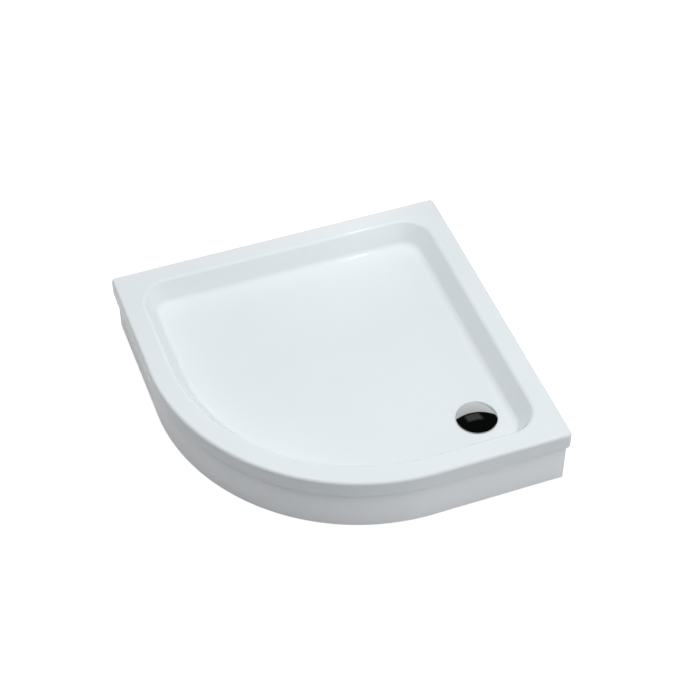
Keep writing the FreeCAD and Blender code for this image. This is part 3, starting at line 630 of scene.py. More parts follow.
def draw_line(points):
    """Draw a line of edges through points: one vertex, extruded from point to point."""
    points = [Vector(p) for p in points]
    bpy.ops.mesh.select_all(action="DESELECT")
    bpy.ops.mesh.primitive_plane_add(size=MM, location=points[0])
    bpy.ops.mesh.merge(type="CENTER")
    pick("VERT", lambda v: not v.link_edges)
    for start, end in zip(points, points[1:]):
        bpy.ops.mesh.extrude_vertices_move(TRANSFORM_OT_translate={"value": end - start})
    bpy.ops.mesh.select_linked()


def turn(profile, x, y, steps=TURN_STEPS):
    """Turn a profile of (radius, height) points about a vertical axis."""
    draw_line([(x + radius, y, z) for radius, z in profile])
    bpy.ops.mesh.spin(steps=steps, angle=2 * math.pi, center=(x, y, 0), axis=(0, 0, 1))
    weld(WELD)
    face_outwards()


def turned_piece(name, slot, profile, edge, x=0.0, y=0.0):
    """Piece turned from a closed profile of (radius, height) points, with its edges broken."""
    begin()
    turn(profile + profile[:1], x, y)
    piece = close_piece(name, (slot,))
    soften(edge)
    return piece


def cube(x0, x1, y0, y1, z0, z1):
    """Add a box between two corners to the mesh in hand."""
    bpy.ops.mesh.primitive_cube_add(size=1, location=((x0 + x1) / 2, (y0 + y1) / 2, (z0 + z1) / 2),
                                    scale=(x1 - x0, y1 - y0, z1 - z0))


def level_cylinder(name, radius, start, end):
    """Cylinder of the trap's plastic along +X from the outlet's axis, at the height of the outlet pipe."""
    begin()
    bpy.ops.mesh.primitive_cylinder_add(vertices=TURN_STEPS, radius=radius, depth=end - start,
                                        location=(OUTLET.x + (start + end) / 2, OUTLET.y, PIPE_Z),
                                        rotation=(0, math.pi / 2, 0))
    return close_piece(name, ("white_polypropylene",))


def round_plate(inset, corner, z):
    """Face with the tray's plan outline: a square plate with one large round corner and three small ones."""
    bpy.ops.mesh.primitive_plane_add(size=2 * (HALF_SIDE - inset), location=(0, 0, z))
    bpy.ops.mesh.select_mode(type="VERT")
    bpy.ops.mesh.hide(unselected=True)
    pick("VERT", lambda v: v.co.x < 0 and v.co.y < 0)
    bpy.ops.mesh.bevel(offset=FRONT_RADIUS - inset, segments=FRONT_STEPS, affect="VERTICES")
    reach = HALF_SIDE - inset - NEAR
    for sx, sy in ((1, -1), (1, 1), (-1, 1)):
        pick("VERT", lambda v: v.co.x * sx > reach and v.co.y * sy > reach)
        bpy.ops.mesh.bevel(offset=corner, segments=CORNER_STEPS, affect="VERTICES")
    pick("EDGE", lambda e: e.calc_length() > corner)
    bpy.ops.mesh.subdivide(number_cuts=STRAIGHT_CUTS)
    pick("FACE", lambda f: True)


def round_over(radius, start, end):
    """Inset and move the chosen face along an arc between two slopes; a hollow arc's radius is negative."""
    slopes = [start + (end - start) * k / FILLET_STEPS for k in range(FILLET_STEPS + 1)]
    for a, b in zip(slopes, slopes[1:]):
        bpy.ops.mesh.inset(thickness=abs(radius * (math.sin(b) - math.sin(a))),
                           depth=radius * (math.cos(b) - math.cos(a)))


def middle_of(node):
    """Middle of a CAD node's box."""
    low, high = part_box(node)
    return (low + high) / 2


def leg_places(name, node):
    """Place of each leg, with a name for the piece there."""
    places = []
    for leg in LEGS:
        spot = middle_of(node + leg)
        places.append((name + leg, spot.x, spot.y, 0))
    return places


def at_bracket(angle, out, across):
    """Plan point in a bracket's frame: outwards from the tray's edge, and across."""
    bearing = math.radians(FRONT_BEARING + angle)
    toward = Vector((math.cos(bearing), math.sin(bearing), 0))
    side = Vector((-math.sin(bearing), math.cos(bearing), 0))
    return Vector((FRONT_CENTRE, FRONT_CENTRE, 0)) + toward * (FRONT_RADIUS + out) + side * across


def bracket_places(name):
    """Place and turn of each bracket, with a name for the piece there."""
    places = []
    for side, angle in BRACKET_ANGLES.items():
        spot = at_bracket(angle, 0, 0)
        places.append((name + side, spot.x, spot.y, FRONT_BEARING + angle))
    return places


def acrylic_tray():
    """Tray: lip, rim and basin drawn as one skin, then given its wall; laminate on its underside."""
    begin()
    # Lip and outer edge of the rim
    round_plate(0, OUTER_CORNER, LIP_Z)
    bpy.ops.mesh.extrude_region_move(TRANSFORM_OT_translate={"value": (0, 0, LIP_HEIGHT - RIM_EDGE)})
    round_over(RIM_EDGE, math.pi / 2, 0)
    bpy.ops.mesh.delete(type="ONLY_FACE")
    pick("FACE", lambda f: middle(f).z < LIP_Z + NEAR)
    bpy.ops.mesh.delete(type="ONLY_FACE")
    bpy.ops.mesh.select_all(action="SELECT")
    bpy.ops.mesh.hide()
    # Basin: rounded rim edge, leaning wall, rounded foot, at the mean depth of the floor
    turn_angle = math.pi / 2 - WALL_LEAN
    edge_reach = BASIN_EDGE * math.tan(turn_angle / 2)
    foot_reach = FLOOR_FILLET * math.tan(turn_angle / 2)
    basin_inset = RIM_WIDTH - edge_reach
    round_plate(basin_inset, BASIN_CORNER + edge_reach, RIM_Z)
    round_over(BASIN_EDGE, 0, turn_angle)
    wall = MEAN_DEPTH / math.cos(WALL_LEAN) - edge_reach - foot_reach
    bpy.ops.mesh.inset(thickness=wall * math.sin(WALL_LEAN), depth=-wall * math.cos(WALL_LEAN))
    round_over(-FLOOR_FILLET, turn_angle, 0)
    bpy.ops.mesh.delete(type="ONLY_FACE")
    # Flat of the rim
    bpy.ops.mesh.reveal(select=False)
    pick("EDGE", lambda e: e.is_boundary and abs(middle(e).z - RIM_Z) < NEAR)
    bpy.ops.mesh.bridge_edge_loops()
    # Floor round the outlet, and the outlet's seat
    floor_level = RIM_Z - MEAN_DEPTH
    drain = Vector((OUTLET.x, OUTLET.y, floor_level))
    pick("EDGE", lambda e: e.is_boundary and abs(middle(e).z - floor_level) < NEAR)
    bpy.ops.mesh.extrude_edges_move()
    bpy.ops.transform.tosphere(value=1, center_override=drain)
    shape = bmesh.from_edit_mesh(bpy.context.object.data)
    ring = next((v.co - drain).length for v in shape.verts if v.select)
    shrink = (SEAT_RADIUS + SEAT_EDGE) / ring
    bpy.ops.transform.resize(value=(shrink, shrink, 1), center_override=drain)
    seat = [(SEAT_RADIUS + SEAT_EDGE * (1 - math.sin(a)), SEAT_EDGE * (1 - math.cos(a)))
            for a in (math.pi / 2 * k / SEAT_STEPS for k in range(SEAT_STEPS + 1))]
    seat += [(SEAT_RADIUS, SEAT_DEPTH), (OUTLET_HOLE, SEAT_DEPTH)]
    for (r0, d0), (r1, d1) in zip(seat, seat[1:]):
        pull_edges(0, 0, d0 - d1)
        bpy.ops.transform.resize(value=(r1 / r0, r1 / r0, 1), center_override=(OUTLET.x, OUTLET.y, 0))
    # Fall of the floor towards the outlet: each point goes down in step with the depth there
    shape = bmesh.from_edit_mesh(bpy.context.object.data)
    edge_depth = BASIN_EDGE * (1 - math.cos(turn_angle))
    mid_rim = HALF_SIDE - RIM_EDGE - RIM_WIDTH / 2
    for v in shape.verts:
        depth = RIM_Z - v.co.z
        inside = abs(v.co.x) < mid_rim and abs(v.co.y) < mid_rim
        if inside and depth > edge_depth + NEAR / 10:
            away = math.hypot(v.co.x - OUTLET.x, v.co.y - OUTLET.y)
            local = BASIN_DEPTH - FLOOR_FALL * away
            share = (local - edge_depth) / (MEAN_DEPTH - edge_depth)
            if depth > MEAN_DEPTH - NEAR:
                v.co.z += MEAN_DEPTH - local
            else:
                v.co.z = RIM_Z - edge_depth - (depth - edge_depth) * share
    bmesh.update_edit_mesh(bpy.context.object.data)
    face_outwards()
    piece = close_piece("acrylic_tray", ("sanitary_acrylic", "laminate"))
    apply_modifier("SOLIDIFY", thickness=SHELL_WALL, offset=-1, use_even_offset=True,
                   use_quality_normals=True, material_offset=1)
    smooth()
    stand_for(piece, "tray", "sanitary_acrylic", "tray_shell")


def apron_panel():
    """Front panel: one bent sheet with a flange turned in along its top and its bottom."""
    begin()
    side = PANEL_SIDE
    draw_line([(side + PANEL_TOP_FLANGE, PANEL_END, panel_high.z), (side, PANEL_END, panel_high.z),
               (side, PANEL_END, panel_low.z), (side + PANEL_BOTTOM_FLANGE, PANEL_END, panel_low.z)])
    pick("VERT", lambda v: abs(v.co.x - side) < NEAR)
    bpy.ops.mesh.bevel(offset=PANEL_EDGE, segments=4, affect="VERTICES")
    bpy.ops.mesh.select_all(action="SELECT")
    pull_edges(0, FRONT_CENTRE - PANEL_END, 0)
    bpy.ops.mesh.spin(steps=FRONT_STEPS, angle=-math.pi / 2, center=(FRONT_CENTRE, FRONT_CENTRE, 0),
                      axis=(0, 0, 1))
    pull_edges(PANEL_END - FRONT_CENTRE, 0, 0)
    weld(WELD)
    face_outwards()
    piece = close_piece("apron_panel", ("panel_acrylic", "laminate"))
    apply_modifier("SOLIDIFY", thickness=PANEL_WALL, offset=-1, use_even_offset=True,
                   use_quality_normals=True, material_offset=1)
    smooth()
    stand_for(piece, "panel", "panel_acrylic", "front_panel")


def chrome_dome():
    """Domed cover of the waste: a shallow ball cap with a short skirt, hollow below."""
    begin()
    spring = dome_low.z + DOME_SKIRT
    rise = dome_high.z - spring
    ball = (DOME_RADIUS ** 2 + rise ** 2) / (2 * rise)
    reach = math.asin(DOME_RADIUS / ball)
    steps = 4 * FILLET_STEPS
    profile = [(ball * math.sin(reach * k / steps), dome_high.z - ball * (1 - math.cos(reach * k / steps)))
               for k in range(steps + 1)]
    profile.append((DOME_RADIUS, dome_low.z))
    turn(profile, OUTLET.x, OUTLET.y)
    piece = close_piece("chrome_dome", ("chrome",))
    apply_modifier("SOLIDIFY", thickness=DOME_WALL, offset=-1, use_even_offset=True)
    apply_modifier("BEVEL", width=DOME_EDGE, segments=3, limit_method="ANGLE",
                   angle_limit=math.radians(DOME_BREAK_ANGLE))
    smooth(DOME_SMOOTH_ANGLE)
    stand_for(piece, "cover", "chrome", "drain_cover")


def finished_copy(node, slot):
    """Copy of a CAD piece with its triangles merged, its sharp edges broken and its round faces smooth."""
    piece = bpy.data.objects.new(node + "_finished", frame["nodes"][node].data.copy())
    bpy.context.scene.collection.objects.link(piece)
    take(piece)
    bpy.ops.object.mode_set(mode="EDIT")
    weld(CAD_WELD)
    bpy.ops.mesh.dissolve_limited(angle_limit=math.radians(FLAT_ANGLE))
    piece = close_piece(node + "_finished", (slot,))
    soften(CAD_BREAK, BREAK_ANGLE)
    stand_for(piece, BODY_OF[node], slot, node)


def hexagon(name, across, low, high, bore):
    """Hexagon nut or collar: a six-sided bar with its corners turned off at both ends, and a bore."""
    corner = across / math.sqrt(3)
    face = HEX_FACE_SHARE * across
    drop = (corner - face) * math.tan(HEX_CHAMFER)
    begin()
    turn([(bore, low), (face, low), (corner, low + drop), (corner, high - drop), (face, high), (bore, high),
          (bore, low)], 0, 0)
    turning = close_piece(name + "_turning", ())
    begin()
    bpy.ops.mesh.primitive_cylinder_add(vertices=6, radius=corner, depth=high - low,
                                        location=(0, 0, (low + high) / 2), rotation=(0, 0, math.radians(30)))
    bar = close_piece(name, ("zinc_steel",))
    cut(bar, turning, "INTERSECT")
    soften(HEXAGON_BREAK)
    return bar


def leg_stems():
    """Leg screws: a ridge wound round a core for the thread, and a hexagon for the spanner."""
    core = STEM_RADIUS - THREAD_DEPTH
    buried = core - NEAR
    start = STEM_HEX_HIGH + STEM_PITCH
    begin()
    draw_line([(buried, 0, start - THREAD_ROOT), (STEM_RADIUS, 0, start - THREAD_CREST),
               (STEM_RADIUS, 0, start + THREAD_CREST), (buried, 0, start + THREAD_ROOT),
               (buried, 0, start - THREAD_ROOT)])
    weld(WELD)
    stem = close_piece("leg_stem", ("zinc_steel",))
    apply_modifier("SCREW", axis="Z", angle=2 * math.pi, screw_offset=STEM_PITCH, steps=THREAD_STEPS,
                   render_steps=THREAD_STEPS, iterations=int((BOARD_LOW - start - THREAD_ROOT) / STEM_PITCH))
    bpy.ops.object.mode_set(mode="EDIT")
    bpy.ops.mesh.select_all(action="SELECT")
    bpy.ops.mesh.fill_holes(sides=4)
    turn([(0, STEM_LOW), (STEM_RADIUS - STEM_END, STEM_LOW), (STEM_RADIUS, STEM_LOW + STEM_END),
          (STEM_RADIUS, STEM_HEX_HIGH), (core, STEM_HEX_HIGH + STEM_END), (core, BOARD_LOW - STEM_END),
          (core - STEM_END, BOARD_LOW), (0, BOARD_LOW)], 0, 0, THREAD_STEPS)
    stem = close_piece("leg_stem", ("zinc_steel",))
    stem = join(stem, hexagon("collar", STEM_HEX, STEM_HEX_LOW, STEM_HEX_HIGH, STEM_RADIUS - STEM_END))
    smooth(THREAD_SMOOTH_ANGLE)
    for piece, leg in zip(copies(stem, leg_places("screw_stem_", "leg_stem_")), LEGS):
        stand_for(piece, "stem_" + leg, "zinc_steel", "leg_stem_" + leg)


def lock_nuts():
    """Nuts that lock the stems under their sockets."""
    nut = hexagon("lock_nut", NUT_HEX, NUT_LOW, NUT_HIGH, STEM_BORE)
    for piece in copies(nut, leg_places("lock_nut_", "leg_stem_")):
        stand_for(piece, "tray", "zinc_steel", "lock_nuts")


def foot_pads():
    """Feet: round, with a grooved tread below and sunk fields between ribs on the cone above."""
    tread = []
    for radius in TREAD_RADII:
        far = radius + TREAD_WIDTH
        tread += [(radius, 0), (radius + TREAD_SLOPE, TREAD_DEPTH)]
        tread += [(far - TREAD_SLOPE, TREAD_DEPTH), (far, 0)]
    begin()
    turn([(0, 0)] + tread +
         [(FOOT_RADIUS - FOOT_EDGE, 0), (FOOT_RADIUS, FOOT_EDGE), (FOOT_RADIUS, FOOT_SIDE_HIGH),
          (FOOT_NECK, FOOT_HEIGHT), (STEM_BORE, FOOT_HEIGHT), (STEM_BORE, STEM_LOW), (0, STEM_LOW)], 0, 0)
    for k in range(FOOT_FIELDS):
        bearing = math.radians(360 * (k + 0.5) / FOOT_FIELDS)
        toward = Vector((math.cos(bearing), math.sin(bearing), 0))
        pick("FACE", lambda f: f.normal.z > 0.3 and middle(f).xy.length > FOOT_NECK
             and middle(f).xy.normalized().dot(toward.xy) > math.cos(FIELD_HALF_ANGLE))
        bpy.ops.mesh.inset(thickness=FIELD_DEPTH, depth=-FIELD_DEPTH)
    pad = close_piece("foot_pad", ("black_nylon",))
    soften(FOOT_BREAK)
    for piece, leg in zip(copies(pad, leg_places("foot_", "foot_pad_")), LEGS):
        stand_for(piece, "foot_" + leg, "black_nylon", "foot_pad_" + leg)


def leg_sockets():
    """Sockets of the legs: a flange under the board, a bored boss and four ribs."""
    plate_low = BOARD_LOW - SOCKET_PLATE
    socket = turned_piece("leg_socket", "black_nylon",
                          [(STEM_BORE, BOARD_LOW), (SOCKET_FLANGE, BOARD_LOW), (SOCKET_FLANGE, plate_low),
                           (SOCKET_BOSS + BOSS_CHAMFER, plate_low), (SOCKET_BOSS, plate_low - BOSS_CHAMFER),
                           (SOCKET_BOSS, NUT_HIGH), (STEM_BORE, NUT_HIGH)], SOCKET_BREAK)
    begin()
    tip = SOCKET_BOSS + RIB_LENGTH
    cube((SOCKET_BOSS + STEM_BORE) / 2, tip, -RIB_THICKNESS / 2, RIB_THICKNESS / 2,
         plate_low - RIB_HEIGHT, plate_low)
    pick("VERT", lambda v: v.co.x > tip - NEAR and v.co.z < plate_low - NEAR)
    bpy.ops.transform.translate(value=(-RIB_LENGTH, 0, 0))
    rib = close_piece("rib", ("black_nylon",))
    soften(RIB_BREAK)
    socket = join(socket, *copies(rib, [("rib", 0, 0, 360 * k / SOCKET_RIBS) for k in range(SOCKET_RIBS)]))
    for piece, leg in zip(copies(socket, leg_places("socket_", "leg_socket_")), LEGS):
        stand_for(piece, "tray", "black_nylon", "leg_socket_" + leg)


def wood_screws():
    """Round-head screws with a cross recess, heads down, between the sockets' ribs and in the brackets."""
    begin()
    low = -SCREW_HEAD_HEIGHT
    round_head = [(SCREW_HEAD * math.sin(a), low + SCREW_HEAD_HEIGHT * SCREW_DOME_SHARE * (1 - math.cos(a)))
                  for a in QUARTER_TURN]
    turn(round_head + [(SCREW_HEAD, 0), (SCREW_SHANK, 0), (SCREW_SHANK, SCREW_LENGTH - SCREW_TIP),
                       (0, SCREW_LENGTH)], 0, 0, SCREW_STEPS)
    screw = close_piece("wood_screw", ("zinc_steel",))
    for degrees in (0, 90):
        begin()
        cube(-RECESS_REACH, RECESS_REACH, -RECESS_HALF, RECESS_HALF, low - OVER, low + RECESS_DEPTH)
        pick("VERT", lambda v: v.co.z > low)
        bpy.ops.transform.resize(value=RECESS_TAPER, center_override=(0, 0, 0))
        bpy.ops.mesh.select_all(action="SELECT")
        bpy.ops.transform.rotate(value=math.radians(degrees), orient_axis="Z", center_override=(0, 0, 0))
        cut(screw, close_piece("recess", ()), "DIFFERENCE")
    soften(SCREW_BREAK)
    legs = []
    for leg in LEGS:
        centre = middle_of("leg_socket_" + leg)
        for k in range(SOCKET_RIBS):
            a = math.radians(360 * (k + 0.5) / SOCKET_RIBS)
            legs.append(("socket_screw", centre.x + SCREW_CIRCLE * math.cos(a),
                         centre.y + SCREW_CIRCLE * math.sin(a), SOCKET_SCREW_TURN * len(legs)))
    brackets = []
    for angle in BRACKET_ANGLES.values():
        for side in (-1, 1):
            spot = at_bracket(angle, BRACKET_SCREW_IN - BRACKET_INNER, side * BRACKET_SCREW_APART / 2)
            brackets.append(("bracket_screw", spot.x, spot.y, BRACKET_SCREW_TURN * len(brackets)))
    for places, seat, node in ((legs, BOARD_LOW - SOCKET_PLATE, "socket_screws"),
                               (brackets, BOARD_LOW - BRACKET_STEEL, "bracket_screws")):
        take(screw)
        bpy.ops.object.duplicate(linked=False)
        pattern = bpy.context.object
        pattern.location.z = seat
        bpy.ops.object.transform_apply(location=True, rotation=False, scale=False)
        for piece in copies(pattern, places):
            stand_for(piece, "tray", "zinc_steel", node)
    bpy.data.objects.remove(screw)


def panel_brackets():
    """Steel angles under the board: a bent strip with round corners."""
    half = BRACKET_WIDTH / 2
    arm_z = BOARD_LOW - BRACKET_STEEL / 2
    tab_x = -TAB_INSET - BRACKET_STEEL / 2
    begin()
    draw_line([(-BRACKET_INNER, -half, arm_z), (tab_x, -half, arm_z), (tab_x, -half, TAB_HIGH)])
    pick("VERT", lambda v: len(v.link_edges) == 2)
    bpy.ops.mesh.bevel(offset=BRACKET_BEND, segments=5, affect="VERTICES")
    bpy.ops.mesh.select_all(action="SELECT")
    pull_edges(0, BRACKET_WIDTH, 0)
    pick("VERT", lambda v: v.co.x < NEAR - BRACKET_INNER or v.co.z > TAB_HIGH - NEAR)
    bpy.ops.mesh.bevel(offset=BRACKET_CORNER, segments=4, affect="VERTICES")
    face_outwards()
    bracket = close_piece("panel_bracket", ("zinc_steel",))
    apply_modifier("SOLIDIFY", thickness=BRACKET_STEEL, offset=0)
    soften(BRACKET_BREAK)
    for piece, side in zip(copies(bracket, bracket_places("bracket_")), BRACKET_ANGLES):
        stand_for(piece, "tray", "zinc_steel", "panel_bracket_" + side)


def panel_magnets():
    """Block magnets on the tabs of the brackets, with a sunk field in their face."""
    half = MAGNET_SIZE / 2
    begin()
    cube(-TAB_INSET, -MAGNET_INSET, -half, half, MAGNET_Z - half, MAGNET_Z + half)
    pick("FACE", lambda f: f.normal.x > 0.9)
    bpy.ops.mesh.inset(thickness=MAGNET_BORDER)
    bpy.ops.mesh.inset(thickness=MAGNET_FIELD_EDGE, depth=-MAGNET_FIELD_DEPTH)
    magnet = close_piece("magnet", ("magnet",))
    soften(MAGNET_BREAK)
    for piece in copies(magnet, bracket_places("magnet_")):
        stand_for(piece, "tray", "magnet", "panel_magnets")


def strike_plates():
    """Thin steel plates inside the panel, rolled to its curve."""
    radius = FRONT_RADIUS - STRIKE_INSET
    half = math.asin(STRIKE_WIDTH / 2 / radius)
    low = MAGNET_Z - STRIKE_HEIGHT / 2
    begin()
    draw_line([(radius * math.cos(a) - FRONT_RADIUS, radius * math.sin(a), low)
               for a in (half * (2 * k / STRIKE_STEPS - 1) for k in range(STRIKE_STEPS + 1))])
    pull_edges(0, 0, STRIKE_HEIGHT)
    pick("VERT", lambda v: len(v.link_edges) == 2)
    bpy.ops.mesh.bevel(offset=STRIKE_CORNER, segments=4, affect="VERTICES")
    face_outwards()
    pick("FACE", lambda f: f.normal.x < 0)
    bpy.ops.mesh.flip_normals()
    plate = close_piece("strike_plate", ("zinc_steel",))
    apply_modifier("SOLIDIFY", thickness=STRIKE_STEEL, offset=-1)
    soften(STRIKE_BREAK)
    for piece in copies(plate, bracket_places("strike_plate_")):
        stand_for(piece, "panel", "zinc_steel", "strike_plates")


def chipboard_base():
    """Board under the basin, sawn to the tray's outline, notched at the outlet, drilled above the stems."""
    begin()
    round_plate(BOARD_INSET, BOARD_CORNER, BOARD_LOW)
    bpy.ops.mesh.extrude_region_move(TRANSFORM_OT_translate={"value": (0, 0, BOARD_HIGH - BOARD_LOW)})
    face_outwards()
    board = close_piece("chipboard_base", ("chipboard",))
    begin()
    cube(OUTLET.x - NOTCH_REACH, HALF_SIDE, -HALF_SIDE, OUTLET.y + NOTCH_REACH, 0, RIM_Z)
    cut(board, close_piece("notch", ()), "DIFFERENCE")
    begin()
    for _, x, y, _ in leg_places("hole_", "leg_stem_"):
        bpy.ops.mesh.primitive_cylinder_add(vertices=TURN_STEPS, radius=STEM_HOLE,
                                            depth=2 * (BOARD_HIGH - BOARD_LOW),
                                            location=(x, y, (BOARD_LOW + BOARD_HIGH) / 2))
    cut(board, close_piece("stem_holes", ()), "DIFFERENCE")
    soften(BOARD_BREAK)
    stand_for(board, "tray", "chipboard", "base_board")


def waste():
    """Waste fitting: gaskets, flange, lift-out insert and its ring."""
    x, y = OUTLET.x, OUTLET.y
    piece = turned_piece("flange_gasket", "black_rubber",
                         [(GASKET_IN, SEAT_Z), (UPPER_GASKET_OUT, SEAT_Z), (UPPER_GASKET_OUT, FLANGE_LOW),
                          (GASKET_IN, FLANGE_LOW)], UPPER_GASKET_BREAK, x, y)
    stand_for(piece, "tray", "black_rubber", "upper_gasket")
    piece = turned_piece("seat_gasket", "black_rubber",
                         [(GASKET_IN, TRAP_HIGH), (LOWER_GASKET_OUT, TRAP_HIGH),
                          (LOWER_GASKET_OUT, SEAT_UNDER), (GASKET_IN, SEAT_UNDER)], LOWER_GASKET_BREAK, x, y)
    stand_for(piece, "tray", "black_rubber", "lower_gasket")
    piece = turned_piece("outlet_flange", "grey_polypropylene",
                         [(NECK_BORE, FLANGE_HIGH), (FLANGE_RADIUS - FLANGE_CHAMFER, FLANGE_HIGH),
                          (FLANGE_RADIUS, FLANGE_HIGH - FLANGE_CHAMFER), (FLANGE_RADIUS, FLANGE_LOW),
                          (NECK_RADIUS, FLANGE_LOW), (NECK_RADIUS, NECK_LOW), (NECK_BORE, NECK_LOW),
                          (NECK_BORE, LEDGE_LOW), (LEDGE_BORE, LEDGE_LOW), (LEDGE_BORE, LEDGE_HIGH),
                          (NECK_BORE, LEDGE_HIGH)], FLANGE_BREAK, x, y)
    stand_for(piece, "tray", "grey_polypropylene", "waste_flange")
    seal_z = (LEDGE_HIGH + COLLAR_HIGH) / 2
    ring = [(SEAL_CENTRE + SEAL_RADIUS * math.cos(a), seal_z + SEAL_RADIUS * math.sin(a))
            for a in (2 * math.pi * k / RING_STEPS for k in range(RING_STEPS))]
    piece = turned_piece("insert_ring", "black_rubber", ring, RING_BREAK, x, y)
    stand_for(piece, "insert", "black_rubber", "insert_seal")
    half = SEAL_RADIUS + PLAY
    groove = SEAL_CENTRE - SEAL_RADIUS - PLAY
    tube = turned_piece("lift_out_tube", "grey_polypropylene",
                        [(INSERT_BORE, INSERT_LOW), (INSERT_TUBE, INSERT_LOW), (INSERT_TUBE, LEDGE_HIGH),
                         (COLLAR_RADIUS, LEDGE_HIGH), (COLLAR_RADIUS, seal_z - half), (groove, seal_z - half),
                         (groove, seal_z + half), (COLLAR_RADIUS, seal_z + half),
                         (COLLAR_RADIUS, COLLAR_HIGH), (INSERT_BORE, COLLAR_HIGH)], TUBE_BREAK, x, y)
    begin()
    cube(x + INSERT_BORE - TAB_REACH, x + INSERT_BORE + OVER, y - TAB_WIDTH / 2, y + TAB_WIDTH / 2,
         COLLAR_HIGH - TAB_THICKNESS, COLLAR_HIGH)
    pick("EDGE", lambda e: middle(e).x < x + INSERT_BORE - TAB_REACH + NEAR
         and abs(e.verts[0].co.z - e.verts[1].co.z) > NEAR)
    bpy.ops.mesh.bevel(offset=TAB_CORNER, segments=6)
    tab = close_piece("finger_tab", ("grey_polypropylene",))
    soften(TAB_BREAK)
    stand_for(join(tube, tab), "insert", "grey_polypropylene", "trap_insert")


def trap():
    """Trap: a cup with a ribbed collar and a side port, which is saddled to its wall and then bored."""
    x, y = OUTLET.x, OUTLET.y
    thread = NECK_RADIUS + PLAY
    bore = TRAP_RADIUS - TRAP_WALL
    floor = TRAP_LOW + TRAP_WALL
    foot = [(TRAP_RADIUS - TRAP_FOOT * (1 - math.sin(a)), TRAP_LOW + TRAP_FOOT * (1 - math.cos(a)))
            for a in QUARTER_TURN]
    inside = [(bore - TRAP_FILLET * (1 - math.cos(a)), floor + TRAP_FILLET * (1 - math.sin(a)))
              for a in QUARTER_TURN]
    begin()
    turn([(0, TRAP_LOW)] + foot +
         [(TRAP_RADIUS, TRAP_TOP_LOW), (TRAP_TOP_RADIUS, TRAP_TOP_LOW), (TRAP_TOP_RADIUS, TRAP_HIGH),
          (thread, TRAP_HIGH), (thread, NECK_LOW), (bore, NECK_LOW)] + inside + [(0, floor)], x, y)
    cup = close_piece("trap_cup", ("white_polypropylene",))
    break_edges(TRAP_BREAK)
    port = level_cylinder("port", PORT_RADIUS, INSERT_TUBE, PORT_END)
    begin()
    bpy.ops.mesh.primitive_cylinder_add(vertices=TURN_STEPS, radius=bore + TRAP_WALL / 2, depth=TRAP_HIGH,
                                        location=(x, y, PIPE_Z))
    cut(port, close_piece("saddle", ("white_polypropylene",)), "DIFFERENCE")
    cut(cup, port, "UNION")
    cut(cup, level_cylinder("bore", PIPE_BORE, INSERT_TUBE, PORT_END + OVER), "DIFFERENCE")
    cut(cup, level_cylinder("socket", PORT_BORE, PIPE_START, PORT_END + OVER), "DIFFERENCE")
    smooth()
    begin()
    cube(TRAP_RADIUS - OVER, TRAP_TOP_RADIUS - TRAP_RIB_BACK, -TRAP_RIB_HALF, TRAP_RIB_HALF,
         TRAP_TOP_LOW - TRAP_RIB_HEIGHT, TRAP_TOP_LOW)
    pick("VERT", lambda v: v.co.x > TRAP_RADIUS and v.co.z < TRAP_TOP_LOW - NEAR)
    bpy.ops.transform.translate(value=(TRAP_RADIUS + TRAP_RIB_TOE - TRAP_TOP_RADIUS, 0, 0))
    rib = close_piece("trap_rib", ("white_polypropylene",))
    soften(TRAP_RIB_BREAK)
    ribs = copies(rib, [("trap_rib", x, y, 360 * (k + 0.5) / TRAP_RIBS) for k in range(TRAP_RIBS)])
    stand_for(join(cup, *ribs), "tray", "white_polypropylene", "trap_body")


acrylic_tray()
apron_panel()
chrome_dome()
leg_stems()
lock_nuts()
foot_pads()
leg_sockets()
wood_screws()
panel_brackets()
panel_magnets()
strike_plates()
chipboard_base()
waste()
trap()
for node in ("resin_backing", "cover_legs", "outlet_nut", "outlet_seal", "outlet_pipe"):
    finished_copy(node, SLOT_OF[node])


def within(tree, value, span, soft):
    """Node that gives 1 within a span of values and fades to 0 at both its ends."""
    low, high = span
    rise = add(tree, "MapRange", {"Value": value, "From Min": low - soft, "From Max": low + soft})
    fall = add(tree, "MapRange", {"Value": value, "From Min": high - soft, "From Max": high + soft,
                                  "To Min": 1.0, "To Max": 0.0})
    return add(tree, "Math", {0: rise, 1: fall}, operation="MULTIPLY")


def mirrored_room(tree):
    """Brightness that mirrors see: a room darker above and behind, and a black flag with a dim slit above."""
    toward = add(tree, "SeparateXYZ", {"Vector": add(tree, "TexCoord").outputs["Generated"]}).outputs
    height = add(tree, "Math", {0: toward["Z"], 1: LEAST_HEIGHT}, operation="MAXIMUM")
    east = add(tree, "Math", {0: toward["X"], 1: height}, operation="DIVIDE")
    north = add(tree, "Math", {0: toward["Y"], 1: height}, operation="DIVIDE")
    flag = add(tree, "Math", {0: within(tree, east, FLAG_EAST, SOFT_EDGE),
                              1: within(tree, north, FLAG_NORTH, FIRM_EDGE)}, operation="MULTIPLY")
    slit = add(tree, "Math", {0: within(tree, east, SLIT_EAST, SOFT_EDGE),
                              1: within(tree, north, SLIT_NORTH, SOFT_EDGE)}, operation="MULTIPLY")
    flag_level = add(tree, "MapRange", {"Value": slit, "To Min": FLAG_LEVEL, "To Max": SLIT_LEVEL})
    wall = add(tree, "MapRange", {"Value": toward["Z"], "From Min": WALL_FOOT, "From Max": WALL_TOP,
                                  "To Min": WALL_FOOT_LEVEL, "To Max": WALL_TOP_LEVEL})
    front = add(tree, "MapRange", {"Value": toward["Z"], "From Min": WALL_TOP, "To Min": wall,
                                   "To Max": CEILING_LEVEL})
    behind = add(tree, "MapRange", {"Value": toward["Y"], "From Min": BEHIND_SPAN[0],
                                    "From Max": BEHIND_SPAN[1], "To Min": BEHIND_SHARE})
    room = add(tree, "Math", {0: front, 1: behind}, operation="MULTIPLY")
    return add(tree, "Mix", {"Factor": flag, "A": room, "B": flag_level})


